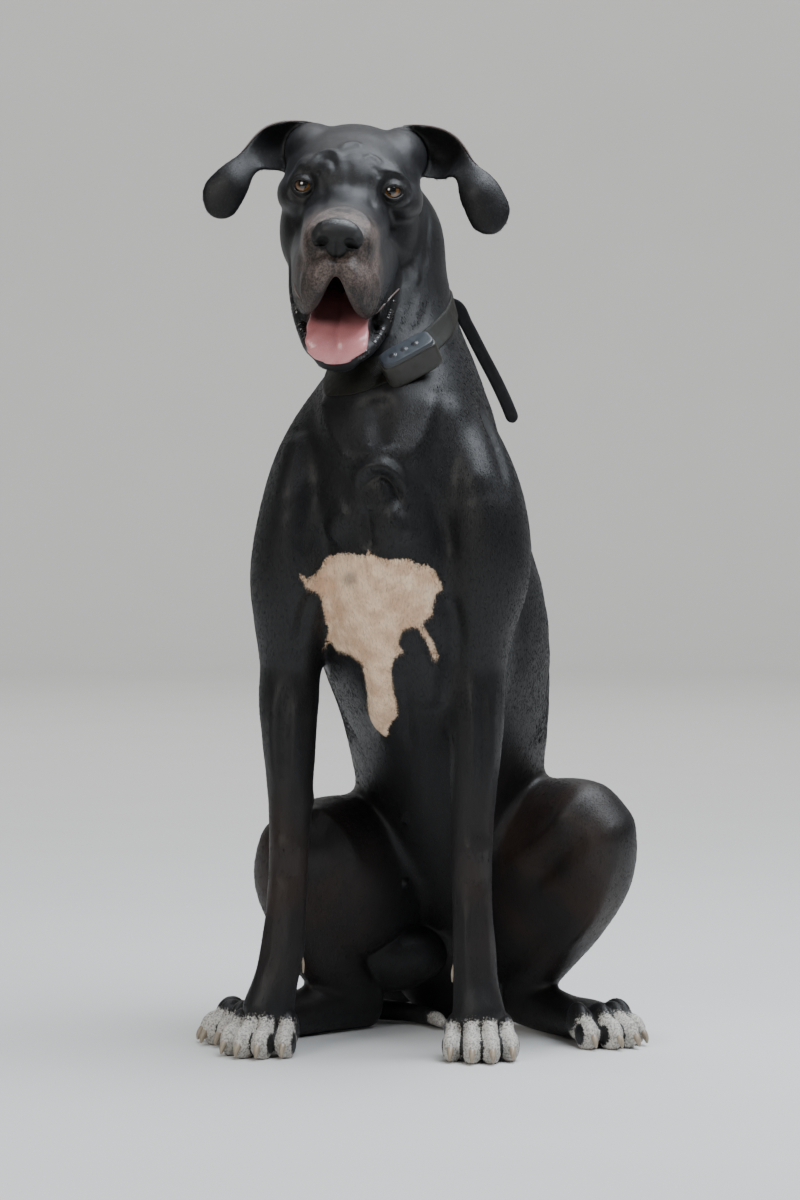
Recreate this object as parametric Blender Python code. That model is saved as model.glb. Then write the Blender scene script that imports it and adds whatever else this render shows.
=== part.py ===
"""Great Dane sitting with its mouth open, life size, in metres, +Z up, facing -Y."""
import bpy
import bmesh
import math
import numpy as np
from mathutils.bvhtree import BVHTree

for old in list(bpy.data.objects):
    bpy.data.objects.remove(old, do_unlink=True)

BODY_YAW = 15.0
BODY_ORIGIN = (-0.025, 0.0, 0.0)
HEAD_YAW = 3.5
HEAD_ROLL = 4.3
HEAD_PITCH = 10.0
HEAD_ORIGIN = (-0.0595, 0.045, 1.010)
EYE_HALF_GAP = 0.0505
EYE_RADIUS = 0.0130
VOXEL = 0.0045
GAP = 0.0003


def unit(v):
    v = np.asarray(v, float)
    return v / np.linalg.norm(v, axis=-1, keepdims=True)


def turned(yaw, pitch=0.0, roll=0.0):
    """Rows are the dog's left, back and up directions."""
    a, p, r = (math.radians(k) for k in (yaw, pitch, roll))
    front = np.array([-math.sin(a) * math.cos(p), -math.cos(a) * math.cos(p), -math.sin(p)])
    left = np.array([math.cos(a), -math.sin(a), -math.tan(r)])
    left = unit(left - left @ front * front)
    return np.stack([left, -front, np.cross(left, -front)])


BODY = np.stack([[math.cos(math.radians(BODY_YAW)), -math.sin(math.radians(BODY_YAW)), 0],
                 [math.sin(math.radians(BODY_YAW)), math.cos(math.radians(BODY_YAW)), 0],
                 [0, 0, 1]])
HEAD = turned(HEAD_YAW, HEAD_PITCH, HEAD_ROLL)
JAW_SHIFT = 0.004


def placed(rows, axes, origin):
    rows = np.array(rows, float)
    rows[:, :3] = rows[:, :3] @ axes + np.asarray(origin)
    return rows


def mirrored(rows):
    rows = np.array(rows, float)
    rows[:, 0] *= -1
    return rows


def curve_through(points, count):
    """A smooth curve through rows of any width, read evenly along its length."""
    p = np.asarray(points, float)
    chord = np.linalg.norm(np.diff(p[:, :3], axis=0), axis=1)
    knots = np.concatenate([[0.0], np.cumsum(np.maximum(chord, 1e-6))])
    slope = np.gradient(p, knots, axis=0)
    t = np.linspace(0, knots[-1], count)
    i = np.clip(np.searchsorted(knots, t, side="right") - 1, 0, len(p) - 2)
    h = (knots[i + 1] - knots[i])[:, None]
    u = (t - knots[i])[:, None] / h
    return ((2 * u**3 - 3 * u**2 + 1) * p[i] + (u**3 - 2 * u**2 + u) * h * slope[i]
            + (3 * u**2 - 2 * u**3) * p[i + 1] + (u**3 - u**2) * h * slope[i + 1])


def grid_faces(rows, around):
    i, j = np.meshgrid(np.arange(rows - 1), np.arange(around), indexing="ij")
    k = (j + 1) % around
    quads = np.stack([i * around + j, i * around + k, (i + 1) * around + k, (i + 1) * around + j], -1)
    j = np.arange(around)
    k = (j + 1) % around
    first = np.stack([np.full(around, rows * around), k, j], -1)
    last = np.stack([np.full(around, rows * around + 1), (rows - 1) * around + j, (rows - 1) * around + k], -1)
    return quads.reshape(-1, 4).tolist() + first.tolist() + last.tolist()


def loft(stations, side, around=28, along=28, square=2.0, dome=0.6, keel=0.0):
    """Sections along a smooth path: x, y, z, half width, depth on one side, depth on the other."""
    rows = curve_through(stations, along)
    centre = rows[:, :3]
    path = unit(np.gradient(centre, axis=0))
    side = np.asarray(side, float)
    across = unit(side - (path @ side)[:, None] * path)
    a = np.linspace(0, math.pi / 2, 6)[1:-1]
    grow = np.cos(a)[:, None]
    reach = dome * np.sin(a)[:, None]
    parts = []
    for k, sign in ((0, -1.0), (-1, 1.0)):
        size = rows[k, 3:6].mean()
        c = centre[k] + sign * path[k] * size * reach
        parts.append((c, grow * rows[k, 3:6], centre[k] + sign * path[k] * size * dome))
    centre = np.concatenate([parts[0][0][::-1], centre, parts[1][0]])
    radii = np.concatenate([parts[0][1][::-1], rows[:, 3:6], parts[1][1]])
    across = np.concatenate([np.repeat(across[:1], 4, 0), across, np.repeat(across[-1:], 4, 0)])
    path = np.concatenate([np.repeat(path[:1], 4, 0), path, np.repeat(path[-1:], 4, 0)])
    depth_way = np.cross(path, across)
    angle = np.linspace(0, 2 * math.pi, around, endpoint=False)
    c, d = np.cos(angle), np.sin(angle)
    shape = (np.abs(c) ** square + np.abs(d) ** square) ** (-1 / square)
    c, d = c * shape, d * shape
    depth = np.where(d > 0, radii[:, 1:2], radii[:, 2:3])
    c = c * (1 - keel * np.clip(d, 0, 1) ** 1.5)
    ring = (centre[:, None] + across[:, None] * (radii[:, :1] * c)[..., None]
            + depth_way[:, None] * (depth * d)[..., None])
    verts = np.concatenate([ring.reshape(-1, 3), [parts[0][2], parts[1][2]]])
    return verts, grid_faces(len(ring), around)


def ball(centre, radii, axes, rings=16, around=24):
    """An ellipsoid with its three radii along the rows of axes."""
    lat = np.linspace(-math.pi / 2, math.pi / 2, rings + 1)[1:-1]
    lon = np.linspace(0, 2 * math.pi, around, endpoint=False)
    la, lo = np.meshgrid(lat, lon, indexing="ij")
    p = np.stack([np.cos(la) * np.cos(lo), np.cos(la) * np.sin(lo), np.sin(la)], -1).reshape(-1, 3)
    p = np.concatenate([p, [[0, 0, -1], [0, 0, 1]]])
    return np.asarray(centre) + (p * radii) @ np.asarray(axes, float), grid_faces(len(lat), around)


def mesh_of(name, shapes):
    verts, faces, n = [], [], 0
    for v, f in shapes:
        verts.append(v)
        faces += [[x + n for x in q] for q in f]
        n += len(v)
    mesh = bpy.data.meshes.new(name)
    mesh.from_pydata(np.concatenate(verts).tolist(), [], faces)
    bm = bmesh.new()
    bm.from_mesh(mesh)
    bmesh.ops.recalc_face_normals(bm, faces=bm.faces)
    bmesh.ops.triangulate(bm, faces=bm.faces)
    bm.to_mesh(mesh)
    bm.free()
    ob = bpy.data.objects.new(name, mesh)
    bpy.context.scene.collection.objects.link(ob)
    return ob


def applied(ob):
    bpy.context.view_layer.update()
    graph = bpy.context.evaluated_depsgraph_get()
    mesh = bpy.data.meshes.new_from_object(ob.evaluated_get(graph))
    ob.modifiers.clear()
    old = ob.data
    ob.data = mesh
    bpy.data.meshes.remove(old)
    return ob


def remeshed(ob, voxel):
    step = ob.modifiers.new("remesh", "REMESH")
    step.mode = "VOXEL"
    step.voxel_size = voxel
    return applied(ob)


def coords(ob):
    co = np.empty(len(ob.data.vertices) * 3, np.float32)
    ob.data.vertices.foreach_get("co", co)
    return co.reshape(-1, 3).astype(float)


def set_coords(ob, co):
    ob.data.vertices.foreach_set("co", co.astype(np.float32).ravel())
    ob.data.update()


def smoothed(ob, rounds, weight=0.5, mask=None):
    co = coords(ob)
    n = len(co)
    e = np.empty(len(ob.data.edges) * 2, np.int32)
    ob.data.edges.foreach_get("vertices", e)
    e = e.reshape(-1, 2)
    a = np.concatenate([e[:, 0], e[:, 1]])
    b = np.concatenate([e[:, 1], e[:, 0]])
    count = np.bincount(a, minlength=n).astype(float)[:, None]
    w = weight if mask is None else (weight * mask)[:, None]
    for _ in range(rounds):
        mean = np.stack([np.bincount(a, co[b, k], n) for k in range(3)], -1) / count
        co = co + w * (mean - co)
    set_coords(ob, co)
    return ob


# Masses of the body, in the body's own frame: left, back, up.
S = BODY[0]
trunk = placed([
    (0, 0.085, 0.735, 0.085, 0.115, 0.090),
    (0, 0.125, 0.665, 0.118, 0.150, 0.120),
    (0, 0.165, 0.585, 0.135, 0.165, 0.135),
    (0.008, 0.205, 0.500, 0.142, 0.160, 0.130),
    (0.010, 0.258, 0.410, 0.130, 0.136, 0.123),
    (0.004, 0.310, 0.320, 0.118, 0.120, 0.120),
    (0, 0.365, 0.235, 0.110, 0.100, 0.120),
    (0, 0.410, 0.165, 0.100, 0.085, 0.110)], BODY, BODY_ORIGIN)
forms = [loft(trunk, S, around=36, along=36, keel=0.28)]

# Neck, in world directions.
neck = [
    (-0.028, 0.172, 1.010, 0.050, 0.055, 0.048),
    (-0.014, 0.162, 0.965, 0.064, 0.064, 0.056),
    (-0.008, 0.152, 0.910, 0.064, 0.074, 0.068),
    (-0.002, 0.145, 0.850, 0.072, 0.088, 0.084),
    (0.003, 0.138, 0.790, 0.092, 0.108, 0.098),
    (0.003, 0.126, 0.725, 0.110, 0.128, 0.112),
    (-0.002, 0.122, 0.650, 0.126, 0.130, 0.113)]
forms.append(loft(neck, S, around=36, along=30))

arm_left = [
    (0.045, 0.150, 0.770, 0.038, 0.055, 0.055),
    (0.076, 0.105, 0.700, 0.046, 0.075, 0.075),
    (0.095, 0.060, 0.630, 0.054, 0.070, 0.090),
    (0.100, 0.060, 0.565, 0.053, 0.062, 0.090),
    (0.094, 0.080, 0.505, 0.042, 0.052, 0.070),
    (0.088, 0.100, 0.450, 0.036, 0.045, 0.050)]
arm_right = [
    (-0.066, 0.185, 0.770, 0.034, 0.055, 0.055),
    (-0.100, 0.145, 0.700, 0.042, 0.075, 0.075),
    (-0.118, 0.105, 0.630, 0.048, 0.075, 0.090),
    (-0.126, 0.105, 0.560, 0.051, 0.065, 0.090),
    (-0.129, 0.125, 0.500, 0.043, 0.055, 0.070),
    (-0.130, 0.145, 0.450, 0.035, 0.047, 0.050)]
forms += [loft(arm_left, (1, 0, 0)), loft(arm_right, (1, 0, 0))]

leg_left = [
    (0.089, 0.094, 0.460, 0.036, 0.045, 0.046),
    (0.0890, 0.085, 0.420, 0.036, 0.041, 0.042),
    (0.0885, 0.078, 0.370, 0.033, 0.036, 0.038),
    (0.0850, 0.074, 0.300, 0.0285, 0.030, 0.032),
    (0.0835, 0.072, 0.235, 0.0262, 0.026, 0.028),
    (0.0840, 0.070, 0.180, 0.0255, 0.025, 0.027),
    (0.0865, 0.067, 0.125, 0.0275, 0.027, 0.028),
    (0.0885, 0.063, 0.085, 0.0270, 0.024, 0.027),
    (0.0920, 0.055, 0.050, 0.0320, 0.026, 0.028)]
leg_right = [
    (-0.129, 0.136, 0.460, 0.035, 0.045, 0.046),
    (-0.131, 0.127, 0.420, 0.037, 0.041, 0.042),
    (-0.1305, 0.119, 0.370, 0.0335, 0.036, 0.038),
    (-0.1290, 0.112, 0.300, 0.0280, 0.030, 0.032),
    (-0.1305, 0.108, 0.235, 0.0258, 0.026, 0.028),
    (-0.1330, 0.105, 0.180, 0.0255, 0.025, 0.027),
    (-0.1370, 0.102, 0.125, 0.0272, 0.027, 0.028),
    (-0.1460, 0.099, 0.085, 0.0270, 0.024, 0.027),
    (-0.1550, 0.093, 0.050, 0.0320, 0.026, 0.028)]
forms += [loft(leg_left, (1, 0, 0), along=40), loft(leg_right, (0.95, 0.3, 0), along=40)]

thigh_left = [
    (0.110, 0.430, 0.170, 0.070, 0.110, 0.125),
    (0.140, 0.355, 0.190, 0.074, 0.115, 0.130),
    (0.175, 0.275, 0.220, 0.068, 0.095, 0.115),
    (0.209, 0.205, 0.252, 0.055, 0.068, 0.090),
    (0.228, 0.155, 0.264, 0.048, 0.055, 0.062)]
thigh_right = [
    (0.020, 0.445, 0.165, 0.070, 0.105, 0.125),
    (-0.018, 0.370, 0.180, 0.074, 0.110, 0.092),
    (-0.055, 0.290, 0.205, 0.068, 0.090, 0.115),
    (-0.090, 0.225, 0.230, 0.055, 0.066, 0.090),
    (-0.114, 0.190, 0.240, 0.048, 0.053, 0.062)]
forms += [loft(thigh_left, (0.92, 0.40, 0)), loft(thigh_right, (0.92, -0.40, 0))]
shank_left = [
    (0.236, 0.155, 0.262, 0.046, 0.050, 0.050),
    (0.237, 0.180, 0.210, 0.044, 0.046, 0.050),
    (0.215, 0.220, 0.150, 0.038, 0.040, 0.044),
    (0.185, 0.265, 0.098, 0.030, 0.030, 0.034),
    (0.160, 0.300, 0.062, 0.027, 0.027, 0.028),
    (0.148, 0.322, 0.045, 0.024, 0.026, 0.026)]
shank_right = [
    (-0.122, 0.188, 0.240, 0.046, 0.046, 0.050),
    (-0.132, 0.203, 0.200, 0.044, 0.044, 0.050),
    (-0.116, 0.232, 0.145, 0.042, 0.040, 0.044),
    (-0.092, 0.258, 0.095, 0.038, 0.032, 0.036),
    (-0.066, 0.290, 0.064, 0.032, 0.028, 0.030),
    (-0.046, 0.312, 0.048, 0.025, 0.026, 0.026)]
forms += [loft(shank_left, (0.82, -0.57, 0)), loft(shank_right, (0.80, 0.60, 0))]
foot_left = [
    (0.146, 0.325, 0.040, 0.023, 0.026, 0.036),
    (0.175, 0.278, 0.034, 0.023, 0.026, 0.034),
    (0.205, 0.228, 0.028, 0.025, 0.024, 0.028),
    (0.232, 0.185, 0.026, 0.034, 0.024, 0.026),
    (0.243, 0.165, 0.024, 0.036, 0.020, 0.024)]
foot_right = [
    (-0.040, 0.316, 0.040, 0.023, 0.028, 0.040),
    (-0.085, 0.276, 0.036, 0.025, 0.030, 0.036),
    (-0.130, 0.236, 0.029, 0.026, 0.026, 0.030),
    (-0.172, 0.200, 0.026, 0.034, 0.024, 0.026),
    (-0.188, 0.190, 0.024, 0.036, 0.020, 0.024)]
forms += [loft(foot_left, (0.815, 0.58, 0)), loft(foot_right, (0.64, -0.77, 0))]

forms.append(ball((0.146, 0.345, 0.062), (0.020, 0.022, 0.022), np.eye(3)))
forms.append(ball((-0.030, 0.332, 0.055), (0.020, 0.022, 0.020), np.eye(3)))

# Withers, rump and tail.
forms.append(loft([
    (-0.004, 0.170, 0.870, 0.030, 0.050, 0.040),
    (0.014, 0.185, 0.800, 0.050, 0.060, 0.050),
    (0.028, 0.220, 0.720, 0.060, 0.070, 0.048),
    (0.044, 0.270, 0.620, 0.050, 0.070, 0.032),
    (0.062, 0.325, 0.500, 0.030, 0.050, 0.012)], (1, 0, 0)))
forms.append(ball((0.078, 0.425, 0.115), (0.105, 0.095, 0.125), BODY))
tail = [
    (0.095, 0.490, 0.110, 0.034, 0.032, 0.032),
    (0.080, 0.525, 0.060, 0.027, 0.026, 0.026),
    (0.035, 0.545, 0.028, 0.022, 0.022, 0.024),
    (-0.025, 0.525, 0.018, 0.019, 0.019, 0.021),
    (-0.066, 0.470, 0.016, 0.017, 0.017, 0.019),
    (-0.062, 0.410, 0.015, 0.016, 0.016, 0.018),
    (-0.030, 0.370, 0.016, 0.014, 0.014, 0.017),
    (0.012, 0.352, 0.014, 0.012, 0.012, 0.015),
    (0.040, 0.322, 0.012, 0.010, 0.010, 0.013),
    (0.050, 0.290, 0.010, 0.007, 0.007, 0.010)]
forms.append(loft(tail, (0, 0, 1), around=16, along=60))


def toes(centre, heading, spread, size):
    """Four toes with a knuckle and a claw each, fanned about the heading; zero points at -Y."""
    out = []
    cx, cy = centre
    h = math.radians(heading)
    for off, back in ((-1.5, 0.017), (-0.5, 0.0), (0.5, 0.0), (1.5, 0.017)):
        a = math.radians(heading + off * spread)
        f = np.array([math.sin(a), -math.cos(a), 0])
        axes = np.stack([[math.cos(a), math.sin(a), 0], -f, [0, 0, 1]])
        p = np.array([cx, cy, 0]) + np.array([math.cos(h), math.sin(h), 0]) * off * 0.0205 * size
        p = p - np.array([math.sin(h), -math.cos(h), 0]) * back
        out.append(ball(p + f * 0.013 + [0, 0, 0.017], np.array([0.0122, 0.021, 0.0205]) * size, axes))
        out.append(ball(p - f * 0.010 + [0, 0, 0.030], np.array([0.0115, 0.023, 0.0235]) * size, axes))
        claw = [(*(p + f * 0.026 + [0, 0, 0.019]), 0.0048, 0.0048, 0.0048),
                (*(p + f * 0.034 + [0, 0, 0.014]), 0.0044, 0.0046, 0.0046),
                (*(p + f * 0.038 + [0, 0, 0.007]), 0.0034, 0.0036, 0.0036)]
        out.append(loft(claw, axes[0], around=10, along=6))
    return out


forms += toes((0.0935, 0.036), 2, 6, 1.0)
forms += toes((-0.166, 0.074), -20, 7, 1.0)
forms += toes((0.251, 0.153), 34, 7, 1.0)
forms += toes((-0.201, 0.176), -44, 7, 0.98)


# Head masses, in the head's own frame with its origin midway between the eyes.
def in_head(rows):
    return placed(rows, HEAD, HEAD_ORIGIN)


def shifted(rows):
    """The open jaw hangs a little toward the dog's left."""
    rows = np.array(rows, float)
    rows[:, 0] += JAW_SHIFT * np.clip((0.03 - rows[:, 1]) / 0.06, 0, 1)
    return rows


def head_ball(x, y, z, rx, ry, rz):
    return ball(np.array([x, y, z]) @ HEAD + HEAD_ORIGIN, (rx, ry, rz), HEAD)


L = HEAD[0]
skull = [
    (0, 0.160, 0.005, 0.042, 0.045, 0.050),
    (0, 0.125, 0.005, 0.068, 0.058, 0.062),
    (0, 0.085, 0.005, 0.078, 0.060, 0.062),
    (0, 0.045, 0.003, 0.078, 0.056, 0.055),
    (0, 0.010, 0.000, 0.062, 0.044, 0.050),
    (0, -0.014, -0.015, 0.046, 0.026, 0.040)]
muzzle = [
    (0, 0.020, -0.038, 0.054, 0.034, 0.045),
    (0, -0.020, -0.041, 0.049, 0.034, 0.045),
    (0, -0.060, -0.046, 0.0465, 0.034, 0.042),
    (0, -0.100, -0.050, 0.0440, 0.031, 0.040),
    (0, -0.124, -0.053, 0.0400, 0.027, 0.034)]
forms += [loft(in_head(skull), L), loft(in_head(muzzle), L, square=2.4, dome=0.4)]
flew = [
    (0.010, -0.137, -0.072, 0.013, 0.014, 0.014),
    (0.022, -0.131, -0.085, 0.014, 0.026, 0.028),
    (0.033, -0.112, -0.096, 0.014, 0.036, 0.038),
    (0.040, -0.082, -0.096, 0.013, 0.040, 0.038),
    (0.044, -0.046, -0.088, 0.013, 0.040, 0.034),
    (0.049, -0.010, -0.080, 0.012, 0.036, 0.030),
    (0.053, 0.022, -0.072, 0.012, 0.030, 0.028)]
forms += [loft(in_head(flew), L, around=20), loft(in_head(mirrored(flew)), L, around=20)]
jaw = [
    (0, 0.080, -0.072, 0.058, 0.035, 0.040),
    (0, 0.040, -0.104, 0.053, 0.028, 0.036),
    (0, 0.000, -0.135, 0.045, 0.022, 0.030),
    (0, -0.040, -0.161, 0.036, 0.017, 0.025),
    (0, -0.070, -0.178, 0.031, 0.015, 0.023),
    (0, -0.088, -0.184, 0.026, 0.012, 0.018)]
lip = [
    (0.060, 0.030, -0.090, 0.009, 0.010, 0.010),
    (0.060, 0.010, -0.122, 0.008, 0.009, 0.009),
    (0.054, -0.012, -0.150, 0.007, 0.008, 0.008),
    (0.044, -0.038, -0.166, 0.006, 0.008, 0.008),
    (0.034, -0.064, -0.178, 0.006, 0.008, 0.008),
    (0.020, -0.086, -0.184, 0.006, 0.007, 0.007),
    (0.000, -0.095, -0.185, 0.006, 0.007, 0.007)]
forms += [loft(in_head(shifted(lip)), L, around=12), loft(in_head(shifted(mirrored(lip))), L, around=12)]
forms.append(loft(in_head(shifted(jaw)), L, square=2.4, dome=0.4))
for m in (-1, 1):
    forms.append(head_ball(m * 0.053, 0.060, -0.055, 0.029, 0.055, 0.055))
    forms.append(head_ball(m * 0.050, 0.045, -0.105, 0.017, 0.040, 0.045))
    forms.append(head_ball(m * 0.060, 0.040, -0.014, 0.026, 0.050, 0.026))
    forms.append(head_ball(m * 0.046, 0.012, -0.004, 0.026, 0.024, 0.030))
    forms.append(head_ball(m * 0.036, 0.012, 0.020, 0.028, 0.022, 0.016))
    forms.append(head_ball(m * 0.050, 0.095, 0.030, 0.034, 0.055, 0.034))
forms.append(head_ball(0, 0.160, 0.040, 0.020, 0.020, 0.020))


def ear(rows, n=26, m=13):
    """A cupped sheet from root to tip: place, way across, half width, hollow to the front, half thickness."""
    rows = curve_through(rows, n)
    centre, way, w, cup, thick = rows[:, :3], unit(rows[:, 3:6]), rows[:, 6], rows[:, 7], rows[:, 8]
    u = np.linspace(0, 1, n)
    w = w * np.sqrt(np.clip(1 - np.clip((u - 0.84) / 0.16, 0, 1) ** 2.4, 0.05, 1))
    normal = unit(np.cross(unit(np.gradient(centre, axis=0)), way))
    normal = normal * np.sign(normal[:, 1:2])
    v = np.linspace(-1, 1, m)
    mid = (centre[:, None] + way[:, None] * (w[:, None] * v)[..., None]
           + normal[:, None] * (cup[:, None] * (1 - v**2) * w[:, None])[..., None])
    edge = np.sqrt(np.clip(1 - v**2, 0.0, 1))[None, :, None]
    skin = normal[:, None] * (thick[:, None, None] * (0.35 + 0.65 * edge))
    ring = np.concatenate([mid + skin, (mid - skin)[:, ::-1]], axis=1)
    verts = np.concatenate([ring.reshape(-1, 3), [mid[0].mean(0), mid[-1].mean(0)]])
    return verts, grid_faces(n, 2 * m)


ear_right = [
    (-0.0920, 0.132, 1.0590, 0.30, 0.10, 0.95, 0.0318, 0.50, 0.0055),
    (-0.1202, 0.130, 1.0636, 0.15, 0.00, 0.99, 0.0318, 0.75, 0.0050),
    (-0.1504, 0.118, 1.0614, -0.15, -0.10, 0.98, 0.0270, 0.65, 0.0046),
    (-0.1758, 0.104, 1.0450, -0.60, 0.00, 0.80, 0.0152, 0.10, 0.0046),
    (-0.1965, 0.096, 1.0221, -0.72, 0.00, 0.70, 0.0187, -0.35, 0.0046),
    (-0.2129, 0.095, 1.0033, -0.72, 0.00, 0.70, 0.0175, -0.30, 0.0044),
    (-0.2262, 0.095, 0.9870, -0.72, 0.00, 0.70, 0.0140, -0.20, 0.0040)]
ear_left = [
    (0.0000, 0.132, 1.0602, -0.30, 0.10, 0.95, 0.0307, 0.50, 0.0055),
    (0.0283, 0.128, 1.0587, -0.15, 0.00, 0.99, 0.0318, 0.75, 0.0050),
    (0.0540, 0.115, 1.0517, 0.20, -0.10, 0.98, 0.0282, 0.65, 0.0046),
    (0.0749, 0.100, 1.0353, 0.76, 0.00, 0.65, 0.0152, 0.10, 0.0046),
    (0.0900, 0.092, 1.0124, 0.85, 0.00, 0.53, 0.0240, -0.35, 0.0046),
    (0.1028, 0.090, 0.9901, 0.89, 0.00, 0.45, 0.0239, -0.30, 0.0044),
    (0.1150, 0.090, 0.9630, 0.91, 0.00, 0.42, 0.0187, -0.20, 0.0040)]
forms += [ear(ear_right), ear(ear_left)]


# The whole animal as one surface, smoothed where the masses run into each other.
dog = mesh_of("dog", forms)
remeshed(dog, VOXEL)
z = coords(dog)[:, 2]
smoothed(dog, 30, mask=np.clip((z - 0.08) / 0.06, 0, 1) * np.clip((0.90 - z) / 0.06, 0, 1))
smoothed(dog, 4, mask=np.clip((z - 0.02) / 0.06, 0.35, 1))


def smoothstep(low, high, x):
    t = np.clip((x - low) / (high - low), 0, 1)
    return t * t * (3 - 2 * t)


def eye_axes(m):
    """Out of the eye, toward the dog's left and up, for the eye on side m."""
    out = unit(np.array([0.30 * m, -1.0, 0.04]) @ HEAD)
    left = unit(HEAD[0] - HEAD[0] @ out * out)
    return out, left, np.cross(left, -out)


def eye_centre(m):
    return np.array([m * EYE_HALF_GAP, 0.0, 0.0]) @ HEAD + HEAD_ORIGIN


def with_lids(co, lid=0.0024, pocket=0.004):
    """Lids laid over each eyeball, open in an almond, with the brow set back to meet them."""
    for m in (-1, 1):
        out, left, up = eye_axes(m)
        q = co - eye_centre(m)
        a, b, c = q @ left, q @ up, q @ out
        rho = np.hypot(a, b)
        near = (rho < 0.026) & (c > -0.010)
        cap = np.sqrt(np.clip((EYE_RADIUS + lid) ** 2 - np.minimum(rho, 0.0135) ** 2, 0, None))
        t = np.clip(a / 0.0118, -1, 1)
        upper = 0.0072 * (1 - t**2) ** 0.75
        lower = -0.0062 * (1 - t**2) ** 0.75
        inside = (np.abs(a) < 0.0118) & (b < upper) & (b > lower)
        lidded = c + (cap - c) * (1 - smoothstep(0.0125, 0.024, rho))
        target = np.where(inside, EYE_RADIUS - pocket - 0.02 * rho, lidded)
        co = np.where(near[:, None], co + (target - c)[:, None] * out, co)
    return co


set_coords(dog, with_lids(coords(dog)))


def slab_cut(ob, keep_above):
    bm = bmesh.new()
    bm.from_mesh(ob.data)
    cut = bmesh.ops.bisect_plane(bm, geom=bm.verts[:] + bm.edges[:] + bm.faces[:], dist=1e-7,
                                 plane_co=(0, 0, keep_above), plane_no=(0, 0, -1), clear_outer=True)
    edges = [e for e in cut["geom_cut"] if isinstance(e, bmesh.types.BMEdge)]
    bmesh.ops.edgeloop_fill(bm, edges=edges)
    bmesh.ops.triangulate(bm, faces=[f for f in bm.faces if len(f.verts) > 4])
    bm.to_mesh(ob.data)
    bm.free()


def thinned(ob, triangles, fine=None, keep=0.004):
    """Decimated to a number of triangles; where fine is 1 the surface keeps more of them."""
    step = ob.modifiers.new("thin", "DECIMATE")
    now = sum(len(f.vertices) - 2 for f in ob.data.polygons)
    step.ratio = triangles / now
    if fine is not None:
        group = ob.vertex_groups.new(name="coarse")
        for level in range(1, 11):
            rows = np.nonzero((fine * 9).round() == 10 - level)[0].tolist()
            if rows:
                group.add(rows, level / 10, "REPLACE")
        step.vertex_group = "coarse"
        step.vertex_group_factor = keep
    applied(ob)
    return ob


# Nose, tongue and eyes.
def inflated(ob, name, by):
    """A copy grown outward by a clearance, to cut a seat with."""
    copy = bpy.data.objects.new(name, ob.data.copy())
    bpy.context.scene.collection.objects.link(copy)
    n = np.empty(len(copy.data.vertices) * 3, np.float32)
    copy.data.vertices.foreach_get("normal", n)
    set_coords(copy, coords(copy) + by * n.reshape(-1, 3))
    return copy


def boolean(ob, cutter, operation="DIFFERENCE", solver="EXACT"):
    step = ob.modifiers.new("cut", "BOOLEAN")
    step.operation = operation
    step.solver = solver
    step.object = cutter
    applied(ob)
    bpy.data.objects.remove(cutter, do_unlink=True)
    return ob


def nose_forms():
    shapes = [head_ball(0, -0.141, -0.036, 0.0240, 0.012, 0.0175), head_ball(0, -0.135, -0.051, 0.012, 0.012, 0.013)]
    for m in (-1, 1):
        shapes.append(head_ball(m * 0.0160, -0.138, -0.042, 0.0125, 0.012, 0.0135))
    return shapes


nose = remeshed(mesh_of("nose", nose_forms()), 0.0020)
smoothed(nose, 5)
thinned(nose, 460)
for m in (-1, 1):
    axes = turned(HEAD_YAW + 25 * m, HEAD_PITCH, HEAD_ROLL)
    hole = ball(np.array([m * 0.0150, -0.153, -0.0435]) @ HEAD + HEAD_ORIGIN, (0.0056, 0.0100, 0.0048), axes, 8, 12)
    boolean(nose, mesh_of("nostril", [hole]))

tongue_rows = [
    (0.000, -0.005, -0.128, 0.022, 0.007, 0.006),
    (0.001, -0.040, -0.140, 0.027, 0.007, 0.006),
    (0.003, -0.075, -0.151, 0.030, 0.006, 0.005),
    (0.005, -0.099, -0.159, 0.0315, 0.0055, 0.005),
    (0.007, -0.111, -0.171, 0.0310, 0.005, 0.005),
    (0.008, -0.113, -0.181, 0.0260, 0.0045, 0.0045),
    (0.009, -0.112, -0.188, 0.0160, 0.004, 0.004)]
tongue = mesh_of("tongue", [loft(in_head(shifted(tongue_rows)), L, around=14, along=12, square=2.6, dome=0.5)])
eyes = []
for side, m in (("right", -1), ("left", 1)):
    out, left, up = eye_axes(m)
    eyes.append(mesh_of("eye_" + side, [ball(eye_centre(m), (EYE_RADIUS,) * 3, np.stack([left, up, out]), 10, 14)]))


# Collar: a band laid on the neck by casting rays at it from the neck's own axis.
COLLAR_POINT = np.array([-0.004, 0.135, 0.848])
COLLAR_NORMAL = unit((-0.36, -0.34, 0.87))
STRAP_WIDTH = 0.024
RING = 48


def surface_radius(tree, start, ways):
    hits = [tree.ray_cast(tuple(start), tuple(w)) for w in ways]
    return np.array([h[3] if h[3] is not None else 0.08 for h in hits])


def around_neck(tree, angle, along, lift):
    """Points at an angle about the neck, shifted along its axis and lifted off the skin."""
    e1 = unit(np.cross(COLLAR_NORMAL, (0, 1, 0)))
    e2 = np.cross(COLLAR_NORMAL, e1)
    ways = np.cos(angle)[:, None] * e1 + np.sin(angle)[:, None] * e2
    start = COLLAR_POINT + COLLAR_NORMAL * along
    r = surface_radius(tree, start, ways)
    for _ in range(4):
        r = np.maximum(r, (np.roll(r, 1) + 2 * r + np.roll(r, -1)) / 4)
    return start + ways * (r + lift)[:, None]


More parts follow.
